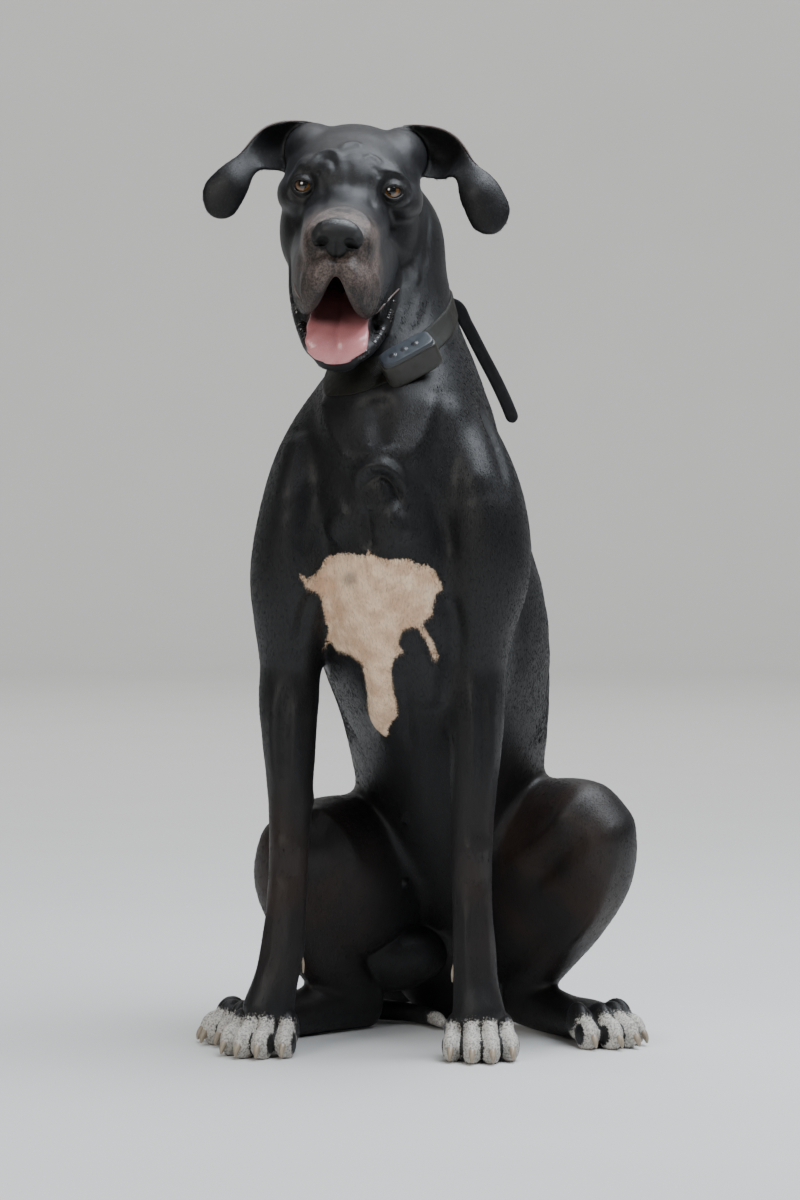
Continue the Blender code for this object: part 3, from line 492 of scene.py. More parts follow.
# %% Ears
def ear(rows, n=70, m=27):
    """A cupped sheet from root to tip.

    Each row is place, way across, half width, hollow, half thickness. With v from -1 to 1
    across, the middle surface is centre + way * w * v + normal * cup * (1 - v squared) * w.
    """
    rows = curve_through(rows, n)
    centre, way, w, cup, thick = rows[:, :3], unit(rows[:, 3:6]), rows[:, 6], rows[:, 7], rows[:, 8]
    u = np.linspace(0, 1, n)
    w = w * np.sqrt(np.clip(1 - np.clip((u - 0.84) / 0.16, 0, 1) ** 2.4, 0.05, 1))
    normal = unit(np.cross(unit(np.gradient(centre, axis=0)), way))
    normal = normal * np.sign(normal[:, 1:2])
    v = np.linspace(-1, 1, m)
    mid = (centre[:, None] + way[:, None] * (w[:, None] * v)[..., None]
           + normal[:, None] * (cup[:, None] * (1 - v**2) * w[:, None])[..., None])
    edge = np.sqrt(np.clip(1 - v**2, 0.0, 1))[None, :, None]
    skin = normal[:, None] * (thick[:, None, None] * (0.35 + 0.65 * edge))
    ring = np.concatenate([mid + skin, (mid - skin)[:, ::-1]], axis=1)
    verts = np.concatenate([ring.reshape(-1, 3), [mid[0].mean(0), mid[-1].mean(0)]])
    return verts, grid_faces(n, 2 * m)


ear_right = [
    (-0.0920, 0.132, 1.0590, 0.30, 0.10, 0.95, 0.0318, 0.50, 0.0055),
    (-0.1202, 0.130, 1.0636, 0.15, 0.00, 0.99, 0.0318, 0.75, 0.0050),
    (-0.1504, 0.118, 1.0614, -0.15, -0.10, 0.98, 0.0270, 0.65, 0.0046),
    (-0.1758, 0.104, 1.0450, -0.60, 0.00, 0.80, 0.0152, 0.10, 0.0046),
    (-0.1950, 0.096, 1.0215, -0.72, 0.00, 0.70, 0.0225, -0.32, 0.0046),
    (-0.2095, 0.095, 1.0020, -0.72, 0.00, 0.70, 0.0255, -0.22, 0.0044),
    (-0.2225, 0.095, 0.9830, -0.72, 0.00, 0.70, 0.0225, -0.15, 0.0040)]
ear_left = [
    (0.0000, 0.132, 1.0602, -0.30, 0.10, 0.95, 0.0307, 0.50, 0.0055),
    (0.0283, 0.128, 1.0587, -0.15, 0.00, 0.99, 0.0318, 0.75, 0.0050),
    (0.0540, 0.115, 1.0517, 0.20, -0.10, 0.98, 0.0282, 0.65, 0.0046),
    (0.0749, 0.100, 1.0353, 0.76, 0.00, 0.65, 0.0152, 0.10, 0.0046),
    (0.0900, 0.092, 1.0124, 0.85, 0.00, 0.53, 0.0240, -0.35, 0.0046),
    (0.1018, 0.090, 0.9895, 0.89, 0.00, 0.45, 0.0262, -0.26, 0.0044),
    (0.1122, 0.090, 0.9610, 0.91, 0.00, 0.42, 0.0240, -0.18, 0.0040)]
head_forms += [ear(ear_right), ear(ear_left)]

# %% Toes
# Each paw: its place on the floor, its heading and the spread between toes in degrees, its size.
PAWS = (((0.0935, 0.036), 2, 6, 1.0), ((-0.166, 0.074), -20, 7, 1.0),
        ((0.251, 0.153), 34, 7, 1.0), ((-0.201, 0.176), -44, 7, 0.98))
TOE_STEP = 0.0205


def toe_places(centre, heading, spread, size):
    """For each of four toes: its place, the way it points and the way across it."""
    h = math.radians(heading)
    for off, back in ((-1.5, 0.017), (-0.5, 0.0), (0.5, 0.0), (1.5, 0.017)):
        a = math.radians(heading + off * spread)
        p = np.array([*centre, 0]) + np.array([math.cos(h), math.sin(h), 0]) * off * TOE_STEP * size
        p = p - np.array([math.sin(h), -math.cos(h), 0]) * back
        yield p, np.array([math.sin(a), -math.cos(a), 0]), np.array([math.cos(a), math.sin(a), 0])


# Ahead, up and the three radii of a toe's end, its knuckle and the bed of its claw.
TOE_BALLS = ((0.013, 0.017, (0.0122, 0.021, 0.0205)), (-0.010, 0.030, (0.0115, 0.023, 0.0235)),
             (0.026, 0.018, (0.0062, 0.010, 0.0070)))
toe_forms = []
for paw in PAWS:
    for p, ahead, across in toe_places(*paw):
        axes = np.stack([across, -ahead, [0, 0, 1]])
        toe_forms += [ball(p + ahead * front + [0, 0, up], np.array(radii) * paw[3], axes)
                      for front, up, radii in TOE_BALLS]
print(len(head_forms), "forms in the head,", len(toe_forms), "in the toes")

# %% [markdown]
# ## One skin
# Everything is joined again at 2 mm, so that ears, lips and toes keep their edges, and
# smoothed a little. Around the face the faces are then split, to hold lids and wrinkles.

# %% Join the skin
SKIN_VOXEL = 0.0020
HEAD_HEIGHTS = (0.86, 0.90)
groin = ball((-0.018, 0.335, 0.088), (0.075, 0.050, 0.046))
skin = remeshed(mesh_of("dog_skin", [shape_of(trunk_mesh), groin] + head_forms + toe_forms), SKIN_VOXEL)
smoothed(skin, 4)
co = coords(skin)
h = head_coords(co)
above_neck = smoothstep(*HEAD_HEIGHTS, co[:, 2])
# The head is smoothed again but for its ears and chin, and then the back of it far more.
soft = smoothstep(0.110, 0.085, np.abs(h[:, 0])) * smoothstep(-0.128, -0.108, h[:, 2])
soft *= 1 - 0.85 * smoothstep(0.040, 0.060, np.abs(h[:, 0])) * smoothstep(0.075, 0.095, h[:, 1])
smoothed(skin, 26, mask=soft * above_neck)
co = coords(skin)
behind = smoothstep(0.105, 0.135, head_coords(co)[:, 1])
smoothed(skin, 110, mask=behind * smoothstep(*HEAD_HEIGHTS, co[:, 2]))
print("skin joined:", triangles(skin), "triangles")


# %% Finer faces where the detail is
def split_near(ob, wanted):
    """Splits every edge whose both ends are wanted, and makes the faces triangles."""
    bm = bmesh.new()
    bm.from_mesh(ob.data)
    bm.verts.ensure_lookup_table()
    edges = [e for e in bm.edges if wanted[e.verts[0].index] and wanted[e.verts[1].index]]
    bmesh.ops.subdivide_edges(bm, edges=edges, cuts=1, use_grid_fill=True)
    bmesh.ops.triangulate(bm, faces=[f for f in bm.faces if len(f.verts) > 4])
    bm.to_mesh(ob.data)
    bm.free()
    smooth_faces(ob.data)


def eye_axes(m):
    """Out of the eye, toward the dog's left and up, for the eye on side m."""
    out = unit(np.array([0.30 * m, -1.0, 0.04]) @ HEAD)
    left = unit(HEAD[0] - HEAD[0] @ out * out)
    return out, left, np.cross(left, -out)


def eye_centre(m):
    return local(m * EYE_HALF_GAP, 0.0, 0.0)


def from_eyes(co):
    """Distance to the middle of the nearer eye."""
    return np.minimum(*[np.linalg.norm(co - eye_centre(m), axis=1) for _, m in SIDES])


h = head_coords(coords(skin))
split_near(skin, (h[:, 1] < 0.050) & (h[:, 2] > -0.140) & (h[:, 2] < 0.075) & (np.abs(h[:, 0]) < 0.085))
EYE_REACH = 0.026
split_near(skin, from_eyes(coords(skin)) < EYE_REACH)
print("skin with fine faces:", triangles(skin), "triangles")

# %% [markdown]
# ## Lids
# Around each eye the skin is laid over a ball a little larger than the eyeball. Inside an
# almond it is drawn back behind the eyeball, so the lids stand in front of it with an edge.

# %% Lids
HALF_EYE, UPPER_LID, LOWER_LID = 0.0122, 0.0074, -0.0080
LID, POCKET = 0.0024, 0.004


def lid_edge(a, upper):
    """Height of a lid's edge above the middle of the eye, at a way along it."""
    t = np.clip(a / HALF_EYE, -1, 1)
    return (UPPER_LID if upper else LOWER_LID) * (1 - t**2) ** (0.60 if upper else 0.70)


co = coords(skin)
for _, m in SIDES:
    out, left, up = eye_axes(m)
    q = co - eye_centre(m)
    a, b, c = q @ left, q @ up, q @ out
    rho = np.hypot(a, b)
    near = (rho < EYE_REACH) & (c > -0.010)
    cap = np.sqrt(np.clip((EYE_RADIUS + LID) ** 2 - np.minimum(rho, 0.0135) ** 2, 0, None))
    depth = np.minimum(np.minimum(lid_edge(a, True) - b, b - lid_edge(a, False)), HALF_EYE - np.abs(a))
    lidded = c + (cap - c) * (1 - smoothstep(0.0125, 0.024, rho))
    inner = EYE_RADIUS - POCKET - 0.02 * rho
    target = lidded + (inner - lidded) * smoothstep(-0.0002, 0.0012, depth)
    co = np.where(near[:, None], co + (target - c)[:, None] * out, co)
set_coords(skin, co)
smoothed(skin, 2, weight=0.25)
print("lids open %.1f mm high and %.1f mm wide" % ((UPPER_LID - LOWER_LID) * 1e3, HALF_EYE * 2e3))

# %% [markdown]
# ## Folds and muscles
# A fold is a stroke: a line over the skin with a width and a height. Points near the line move
# along their normals by height times exp(-(distance / width) squared). Strokes seen in the
# picture are found by rays from the camera, and those on the sides and back by their place.

# %% Strokes
def tree_of(ob):
    bpy.context.view_layer.update()
    return BVHTree.FromObject(ob, bpy.context.evaluated_depsgraph_get())


tree = tree_of(skin)


def seen(points):
    """Places on the skin under points of the picture."""
    hits = [tree.ray_cast(tuple(EYE_START), tuple(r)) for r in picture_rays(points)]
    return np.array([tuple(hit[0]) for hit in hits if hit[0] is not None])


def on_body(points):
    """Places on the skin nearest to points of the body's frame."""
    return np.array([tuple(tree.find_nearest(tuple(p @ BODY + BODY_ORIGIN))[0]) for p in points])


def line_through(points, step=0.0015):
    """Even samples of a smooth line through a few places."""
    count = max(3, int(np.linalg.norm(np.diff(points, axis=0), axis=1).sum() / step))
    return curve_through(points, count) if len(points) > 1 else points


def raised(co, strokes):
    """Every stroke's lift, added up. A stroke is (line, width, height) and fades at its ends."""
    lift = np.zeros(len(co))
    for points, width, height in strokes:
        line = line_through(points)
        low, high = line.min(0) - 3 * width, line.max(0) + 3 * width
        rows = np.nonzero(((co > low) & (co < high)).all(1))[0]
        if not len(rows):
            continue
        best, at = np.full(len(rows), 9.0), np.zeros(len(rows))
        for k, p in zip(np.linspace(0, 1, len(line)), line):
            d = np.linalg.norm(co[rows] - p, axis=1)
            at = np.where(d < best, k, at)
            best = np.minimum(best, d)
        fade = smoothstep(0, 0.22, at) * smoothstep(1, 0.78, at) if len(points) > 1 else 1.0
        lift[rows] += height * (0.25 + 0.75 * fade) * np.exp(-(best / width) ** 2)
    return lift


def read_strokes(text):
    """A stroke is a line of text: width and height in millimetres, then its points."""
    for row in text.strip().splitlines():
        width, height, *points = row.split()
        yield metres(width), metres(height), np.array([p.split(",") for p in points], float)


# %% Lines seen from the front
FACE = """
    3 3  294,172 300,166 308,165 314,160 320,154 328,151 336,153 341,160
    3 -2.4  318,161 326,158 333,162 335,170
    2.8 1.4  324,166 330,170 331,178
    3.5 2.2  340,148 346,144 356,143 362,148
    3 -2.2  342,156 350,153 360,153 370,157
    3 2.4  362,160 370,156 378,160 382,168
    2.8 -1.8  372,166 378,172 379,180
    3 3.2  380,169 390,171 400,174 407,181 413,192
    2.2 -1.6  297,175 305,171 315,171 320,178
    2.2 -1.6  382,177 392,177 402,181 408,190
    4 1.8  286,193 292,201 302,205 312,203 320,195
    4 1.8  372,203 384,210 398,210 408,205 414,197
    4 -1.6  318,172 323,186 324,200 320,212
    4 -1.6  371,172 371,188 372,202 376,214
    4.5 -1.8  347,158 349,172 349,190
    6 -1.8  286,210 290,224 293,238 290,250
    7 -2.6  392,222 396,234 402,244
    3 1.6  378,222 386,234 394,244 404,250
    3.2 1.4  306,252 304,238 309,225 319,215 334,208 350,208 363,214 371,228 373,246
    1.6 -2.2  336,256 336,266 336,276
    5 1.8  305,268 302,284 304,300
    5 2.2  372,268 378,284 378,300 371,311
    5 -1  328,270 318,284 314,298
    5 -1.2  346,270 358,284 364,298
    3.5 2.2  404,246 412,258 417,272 415,288
    4 -2  396,254 402,266 404,280 400,292
    4 -2  428,212 428,232 427,252 424,270
    4 1.4  420,206 420,226 420,246"""
THROAT = """
    3.5 2.2  402,306 400,318 396,332 389,345
    3.2 -2.2  410,300 408,314 403,330
    3.2 2.2  419,298 416,312 411,328
    3.2 -1.8  428,300 425,314 420,328
    7 4  440,304 447,316 449,334 443,346"""
CHEST = """
    6.8 5.2  357,492 360,476 370,466 382,465 394,472 402,484 406,502
    4.8 -4.4  366,484 374,477 384,477 393,484 398,494 400,510
    9 1.2  372,490 380,494 384,502
    8 -5.8  366,505 366,520 369,540 371,552
    16 6  352,508 340,520 330,540
    16 6  384,510 398,522 408,542
    12 5  326,392 330,420 342,450 356,470
    12 5  432,390 426,420 414,450 402,470
    20 -7  378,392 378,424 378,452
    20 5  300,430 290,470 284,515
    22 6  448,390 464,440 478,500
    10 -4  480,396 494,440 506,490
    12 -4.5  318,480 306,520 300,556
    12 -4  424,480 440,520 452,560
    10 -4  312,590 303,620 300,650
    11 -4.5  446,590 456,630 452,680
    14 4  420,640 428,670 432,710
    12 4  338,650 334,680 336,720
    12 4  376,640 378,690 382,740
    8 -3  400,660 406,700 410,750
    4.5 4.5  403,819
    4.5 4.5  405,883"""
LIMBS = """
    7 2.8  275,690 272,730 277,790
    7 3  300,690 296,730 294,790
    5.5 -3  286,690 284,730 285,790
    7 3.2  470,680 474,730 474,790
    7 2.6  492,680 492,730 490,790
    5.5 -3  481,680 483,730 482,790
    8 3  274,842 288,848 302,844
    8 3  462,846 476,852 490,846
    6 -2  276,872 288,878 300,872
    6 -2  462,880 476,886 490,880
    4 2.2  268,905 262,950 252,990
    4 2.2  292,905 288,950 280,990
    3.5 -2  280,905 275,950 266,990
    4 2.2  466,905 466,950 468,990
    4 2.2  486,905 488,950 492,990
    3.5 -2  476,905 477,950 480,990
    12 6  503,872 530,848 558,822 582,796
    15 -9  530,884 560,856 594,834
    11 6  622,792 614,850 592,915 562,950
    6 -4  563,779 552,768 540,742
    5 -3  336,773 353,789
    11 5  300,796 322,812 344,836 360,866"""
# Each group of strokes has one factor for its widths and one for its heights.
GROUPS = ((FACE, 1.15, 0.68), (THROAT, 1.15, 0.5), (CHEST, 1, 1.25), (LIMBS, 1, 1))
strokes = [(seen(points), wide * width, high * height)
           for text, wide, high in GROUPS
           for width, height, points in read_strokes(text)]
strokes = [s for s in strokes if len(s[0])]

# %% Lines on the sides and the back
SIDE = """
    12 3.5  75,150,780 95,150,700 110,140,620
    14 -3.5  70,195,760 100,200,680 115,200,600
    12 -4.5  115,120,560 120,150,500 120,170,440
    14 -4  135,360,340 150,330,300 160,290,260
    16 4  100,420,300 130,400,240 150,380,170
    10 2.5  20,330,520 22,370,420 20,430,300"""
SPINE = "10 2  0,235,700 0,300,560 0,360,440 0,430,320 0,490,200"
RIBS, RIB_WIDTH = 6, 0.0085
for _, m in SIDES:
    side = [(width, height, metres(points) * [m, 1, 1]) for width, height, points in read_strokes(SIDE)]
    for k in range(RIBS):
        back, low = 0.215 + 0.022 * k, 0.50 - 0.030 * k
        rib = [(m * 0.100, back + 0.030, low + 0.090), (m * 0.140, back - 0.005, low + 0.030),
               (m * 0.130, back - 0.030, low - 0.040)]
        side.append((RIB_WIDTH, 0.0007 + 0.0002 * (k % 3), np.array(rib)))
    strokes += [(on_body(points), width, height) for width, height, points in side]
strokes += [(on_body(metres(points)), width, height) for width, height, points in read_strokes(SPINE)]
co = coords(skin)
lift = raised(co, strokes)
set_coords(skin, co + normals(skin) * lift[:, None])
smoothed(skin, 5, mask=smoothstep(0.016, 0.022, from_eyes(co)) * smoothstep(0.06, 0.02, head_coords(co)[:, 1])
         * smoothstep(0.90, 0.93, co[:, 2]))
print(len(strokes), "strokes, from %.1f to %.1f mm" % (lift.min() * 1e3, lift.max() * 1e3))

# %% [markdown]
# ## A lighter mesh, flat underneath
# The skin is thinned to stay a light piece. The face, ears and paws keep the most triangles.
# Points below the floor are set on it, so the dog rests on the same flats as its solids.

# %% Thin
SKIN_TRIANGLES = 190000
LEVELS = 10
co = coords(skin)
height = co[:, 2]
on_face = smoothstep(0.09, 0.03, head_coords(co)[:, 1]) * smoothstep(*HEAD_HEIGHTS, height)
on_head, on_feet, on_trunk = (smoothstep(low, high, height)
                              for low, high in ((0.88, 0.96), (0.075, 0.045), (0.30, 0.40)))
fine = np.maximum.reduce([on_face, 0.75 * on_head, 0.7 * on_feet, 0.35 * on_trunk])
thin = skin.modifiers.new("thin", "DECIMATE")
thin.ratio = SKIN_TRIANGLES / triangles(skin)
group = skin.vertex_groups.new(name="coarse")
for level in range(1, LEVELS + 1):
    rows = np.nonzero((fine * (LEVELS - 1)).round() == LEVELS - level)[0].tolist()
    if rows:
        group.add(rows, level / LEVELS, "REPLACE")
thin.vertex_group = "coarse"
thin.vertex_group_factor = 0.004
applied(skin)
co = coords(skin)
co[:, 2] = np.maximum(co[:, 2], 0.0)
set_coords(skin, co)
print("skin thinned:", triangles(skin), "triangles")

# %% [markdown]
# ## Markings as numbers on the skin
# A Great Dane of this coat is black with a white chest and toes. The patch's outline is a
# polygon across the chest, seen from the front, and each point stores how far inside it is.
# The shader then draws the edge with noise, so the mesh does not limit how fine it is.

# %% Outline fields
def inside_by(points, outline):
    """Distance to a closed outline, positive inside it, for points in a plane."""
    best = np.full(len(points), 9.0)
    inside = np.zeros(len(points), bool)
    for p, q in zip(outline, np.roll(outline, -1, axis=0)):
        best = np.minimum(best, from_segment(points, p, q))
        across = (p[1] > points[:, 1]) != (q[1] > points[:, 1])
        rise = 1e-9 if abs(q[1] - p[1]) < 1e-9 else q[1] - p[1]
        inside ^= across & (points[:, 0] < p[0] + (points[:, 1] - p[1]) / rise * (q[0] - p[0]))
    return np.where(inside, best, -best)


def from_segment(points, p, q):
    d = q - p
    t = np.clip(((points - p) @ d) / (d @ d), 0, 1)
    return np.linalg.norm(points - p - t[:, None] * d, axis=1)


def front_plane(text):
    """Points of the picture as sideways and upward places, where a ray meets the chest."""
    return seen([p.split(",") for p in text.split()])[:, [0, 2]]


tree = tree_of(skin)
bib = front_plane("""
    299,574 308,577 315,577 322,564 329,556 347,553 365,556 369,549 373,556 388,560 399,559 412,559
    417,570 423,564 433,567 438,576 445,590 437,592 433,606 433,616 425,620 419,628 411,627 402,631
    398,643 403,651 394,659 391,670 394,689 398,714 388,728 394,750 380,739 369,726 367,689 362,664
    347,653 336,650 331,641 323,649 326,641 328,628 323,609 321,595 306,589""")
streak = front_plane("411,616 420,626 428,638 436,657")
spot = front_plane("350,579")[0]
STREAK_HALF_WIDTH = 0.0034
BIB_REACH = 0.02
TAIL_TIP = np.array([0.050, 0.290, 0.010])
# For each paw: how high the white goes, and how far out from the middle of the paw.
WHITE_REACH = ((0.047, 0.070), (0.047, 0.070), (0.040, 0.075), (0.040, 0.075))


def marking(co):
    """How far a point of the chest is inside the white, in metres, limited to 20 mm each way."""
    flat = co[:, [0, 2]]
    d = inside_by(flat, bib)
    for p, q in zip(streak[:-1], streak[1:]):
        d = np.maximum(d, STREAK_HALF_WIDTH - from_segment(flat, p, q))
    front = smoothstep(0.150, 0.110, co[:, 1])
    return np.clip(d, -BIB_REACH, BIB_REACH) * front + -BIB_REACH * (1 - front)


def on_toes(co):
    """How white a point of the paws is, with painted shade between the toes, and the tail's tip."""
    toes = smoothstep(0.040, 0.018, np.linalg.norm(co - TAIL_TIP, axis=1))
    for (centre, heading, _, size), (top, reach) in zip(PAWS, WHITE_REACH):
        a = math.radians(heading)
        ahead = (co[:, 0] - centre[0]) * math.sin(a) - (co[:, 1] - centre[1]) * math.cos(a)
        near = np.linalg.norm(co[:, :2] - centre, axis=1) < reach
        t = smoothstep(top + 0.014, top - 0.016, co[:, 2] - 0.25 * ahead) * smoothstep(-0.050, -0.020, ahead)
        # Painted shade: between the toes the white falls almost to nothing, so the black coat shows there.
        aside = [np.abs((co - p) @ across) for p, _, across in toe_places(centre, heading, 6, size)]
        t = t * (0.08 + 0.92 * smoothstep(0.0114, 0.0080, np.min(aside, axis=0)))
        toes = np.maximum(toes, t * near)
    return toes


def paint_fields(co):
    """Fields of the coat at given places: white, toes, grey fuzz, rust, mouth, head and lids."""
    h, b = head_coords(co), body_coords(co)
    wide, back, up = np.abs(h[:, 0]), h[:, 1], h[:, 2]
    around_nose = np.linalg.norm((h - [0, -0.130, -0.045]) / [0.044, 0.044, 0.036], axis=1)
    muzzle_front = smoothstep(-0.070, -0.110, back) * smoothstep(-0.020, -0.045, up)
    muzzle_front = muzzle_front * smoothstep(0.062, 0.045, wide) * smoothstep(-0.150, -0.125, up)
    haunch = np.minimum(*[np.linalg.norm((b - [m * 0.150, 0.190, 0.20]) / [0.10, 0.20, 0.16], axis=1)
                          for m in (1, -1)])
    return {
        "bib": marking(co),
        "toes": on_toes(co),
        "fuzz": np.clip(smoothstep(1.85, 0.75, around_nose) + 0.60 * muzzle_front, 0, 1) * (back < -0.04),
        "spot": smoothstep(0.012, 0.004, np.linalg.norm(co[:, [0, 2]] - spot, axis=1)) * (co[:, 1] < 0.12),
        "rust": smoothstep(1.2, 0.5, haunch),
        "mouth": (smoothstep(0.040, 0.032, wide) * smoothstep(-0.112, -0.100, back)
                  * smoothstep(0.050, 0.030, back) * smoothstep(-0.072, -0.080, up)
                  * smoothstep(-0.185, -0.172, up)),
        "head": smoothstep(0.88, 0.93, co[:, 2]),
        "eyelid": smoothstep(0.0165, 0.0135, from_eyes(co))}


def store(ob, fields, places=None):
    """Keeps fields on a piece, and the place whose pattern each point wears."""
    for name, values in fields.items():
        layer = ob.data.attributes.new(name, "FLOAT", "POINT")
        layer.data.foreach_set("value", np.asarray(values, np.float32))
    if places is not None:
        layer = ob.data.attributes.new("place", "FLOAT_VECTOR", "POINT")
        layer.data.foreach_set("vector", np.asarray(places, np.float32).ravel())


skin_co, skin_n = coords(skin), normals(skin)
skin_fields = paint_fields(skin_co)
store(skin, skin_fields, skin_co)
print({k: round(float(v.mean()), 4) for k, v in skin_fields.items()})

# %% [markdown]
# ## Materials
# Every material is nodes only. The coat reads the stored fields and a noise stretched along the
# hair, so it looks combed: along Z on the body and from nose to nape on the head.


# %% Node helpers
class Nodes:
    """A short way to add and join shader nodes."""

    def __init__(self, name):
        self.material = bpy.data.materials.new(name)
        self.material.use_nodes = True
        self.tree = self.material.node_tree
        self.shader = self.tree.nodes["Principled BSDF"]

    def add(self, kind, **values):
        node = self.tree.nodes.new(kind)
        for key, value in values.items():
            setattr(node, key, value)
        return node

    def put(self, socket, value):
        if isinstance(value, bpy.types.NodeSocket):
            self.tree.links.new(value, socket)
        else:
            socket.default_value = value

    def field(self, name, output="Fac"):
        return self.add("ShaderNodeAttribute", attribute_name=name).outputs[output]

    def place(self):
        return self.add("ShaderNodeTexCoord").outputs["Object"]

    def math(self, kind, *values):
        node = self.add("ShaderNodeMath", operation=kind)
        for socket, v in zip(node.inputs, values):
            self.put(socket, v)
        return node.outputs[0]

    def times(self, a, b):
        return self.math("MULTIPLY", a, b)

    def plus(self, a, b):
        return self.math("ADD", a, b)

    def wobble(self, noise, amount):
        """A noise about zero instead of about a half."""
        return self.times(self.math("SUBTRACT", noise, 0.5), amount)

    def ramp(self, value, low, high, a=0.0, b=1.0):
        node = self.add("ShaderNodeMapRange", interpolation_type="SMOOTHSTEP")
        for socket, v in zip(node.inputs, (value, low, high, a, b)):
            self.put(socket, v)
        return node.outputs[0]

    def mix(self, factor, a, b):
        node = self.add("ShaderNodeMix", data_type="RGBA")
        self.put(node.inputs[0], factor)
        for socket, v in ((node.inputs[6], a), (node.inputs[7], b)):
            self.put(socket, v if isinstance(v, bpy.types.NodeSocket) else (*v, 1.0))
        return node.outputs[2]

    def noise(self, vector, scale, detail=3.0, rough=0.5, stretch=None, turn=(0, 0, 0)):
        if stretch is not None:
            node = self.add("ShaderNodeMapping")
            for name, value in (("Vector", vector), ("Scale", stretch), ("Rotation", turn)):
                self.put(node.inputs[name], value)
            vector = node.outputs[0]
        node = self.add("ShaderNodeTexNoise")
        for name, value in (("Vector", vector), ("Scale", scale), ("Detail", detail), ("Roughness", rough)):
            self.put(node.inputs[name], value)
        return node.outputs["Fac"]

    def bump(self, height, distance, strength, after=None):
        node = self.add("ShaderNodeBump")
        for name, value in (("Strength", strength), ("Distance", distance), ("Height", height)):
            self.put(node.inputs[name], value)
        if after is not None:
            self.put(node.inputs["Normal"], after)
        return node.outputs[0]

    def finish(self, **sockets):
        for name, value in sockets.items():
            self.put(self.shader.inputs[name.replace("_", " ")], value)
        return self.material


# %% Coat
def coat(name, combing):
    """Near-black hair with a white bib and toes, grey fuzz by the nose, rust on the haunch, painted glints on
    the head, and painted shade in the mouth and between the toes.
    """
    s = Nodes(name)
    place = s.field("place", "Vector")
    broad = s.noise(place, 14)
    flecks = s.noise(place, 420, 2, 0.6, stretch=(1, 1, 0.25))
    clumps = s.noise(place, 90, 3, 0.55, stretch=(1, 1, 0.35))
    specks = s.noise(place, 420, 2, 0.6)
    black = s.mix(broad, (0.0028, 0.0028, 0.0031), (0.0058, 0.0056, 0.0060))
    # Painted highlight: sparse light specks on the head stand for glints of light on its hair.
    painted_glints = s.times(s.ramp(specks, 0.54, 0.74), s.times(s.field("head"), 0.55))
    black = s.mix(painted_glints, black, (0.042, 0.040, 0.041))
    black = s.mix(s.times(flecks, 0.35), black, (0.0115, 0.0112, 0.0120))
    rust = s.times(s.field("rust"), s.ramp(broad, 0.35, 0.65, 0.25, 0.9))
    colour = s.mix(rust, black, (0.024, 0.0125, 0.0080))
    fuzz = s.times(s.field("fuzz"), s.ramp(clumps, 0.30, 0.62, 0.30, 1.0))
    colour = s.mix(s.times(fuzz, s.ramp(specks, 0.34, 0.66, 0.30, 1.0)), colour, (0.135, 0.100, 0.086))
    edge = s.plus(s.plus(s.field("bib"), s.wobble(clumps, 0.0050)), s.wobble(specks, 0.0080))
    bib = s.ramp(edge, -0.0012, 0.0018)
    cream = s.mix(s.ramp(s.noise(place, 45), 0.35, 0.65), (0.67, 0.43, 0.275), (0.88, 0.65, 0.455))
    cream = s.mix(s.ramp(flecks, 0.40, 0.75, 0.0, 0.40), cream, (0.30, 0.24, 0.19))
    cream = s.mix(s.times(s.field("spot"), 0.55), cream, (0.16, 0.12, 0.11))
    colour = s.mix(bib, colour, cream)
    toes = s.plus(s.plus(s.field("toes"), s.wobble(clumps, 0.8)), s.wobble(specks, 1.0))
    toes = s.times(s.ramp(toes, 0.30, 0.75), s.ramp(s.field("toes"), 0.03, 0.22))
    ticked = s.mix(s.ramp(specks, 0.32, 0.62, 0.70, 0.0), (0.58, 0.55, 0.50), (0.085, 0.080, 0.078))
    colour = s.mix(toes, colour, ticked)
    colour = s.mix(s.field("eyelid"), colour, (0.006, 0.005, 0.005))
    # Inside the mouth: the flesh's own reddish colour, painted far darker as shade.
    flesh = s.mix(s.noise(place, 55), (0.022, 0.009, 0.008), (0.070, 0.027, 0.023))
    colour = s.mix(s.field("mouth"), colour, flesh)
    rough = s.ramp(s.math("MAXIMUM", bib, toes), 0, 1, 0.48, 0.66)
    rough = s.math("SUBTRACT", s.plus(rough, s.wobble(clumps, 0.16)), s.times(s.field("mouth"), 0.20))
    combed = s.add("ShaderNodeMix", data_type="FLOAT")
    on_body = s.noise(place, 1.0, 2, stretch=(900, 900, 110))
    on_head = s.noise(place, 1.0, 2, stretch=(900, 130, 900), turn=(0.17, 0.0, 0.06))
    for socket, value in ((0, s.field("head")), (2, on_body), (3, on_head)):
        s.put(combed.inputs[socket], value)
    normal = s.bump(s.noise(place, 45, 3, 0.55, stretch=(1, 1, 0.5)), 0.0011, 0.55)
    normal = s.bump(combed.outputs[0], 0.00034, combing, normal)
    return s.finish(Base_Color=colour, Roughness=rough, Normal=normal, Specular_IOR_Level=0.34,
                    Sheen_Weight=0.02, Sheen_Roughness=0.45, Sheen_Tint=(0.80, 0.86, 1.0, 1.0))


skin.data.materials.clear()
skin.data.materials.append(coat("coat", 0.90))
OWN_PIECES = ("eye_left", "eye_right", "nose", "tongue", "collar_strap", "collar_end", "tracker")
FLESH = [n for n in sorted(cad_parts) if n not in OWN_PIECES]
print("the skin stands for", FLESH)

# %% [markdown]
# ## Eyes
# An eyeball is a grid of rings about the line of sight, so pupil and iris stay round. The
# shader reads the angle from that line. The gaze goes a little up and to the viewer's left.

# %% Eyeballs
GAZE = unit(np.array([-0.12, -1.0, 0.06]))


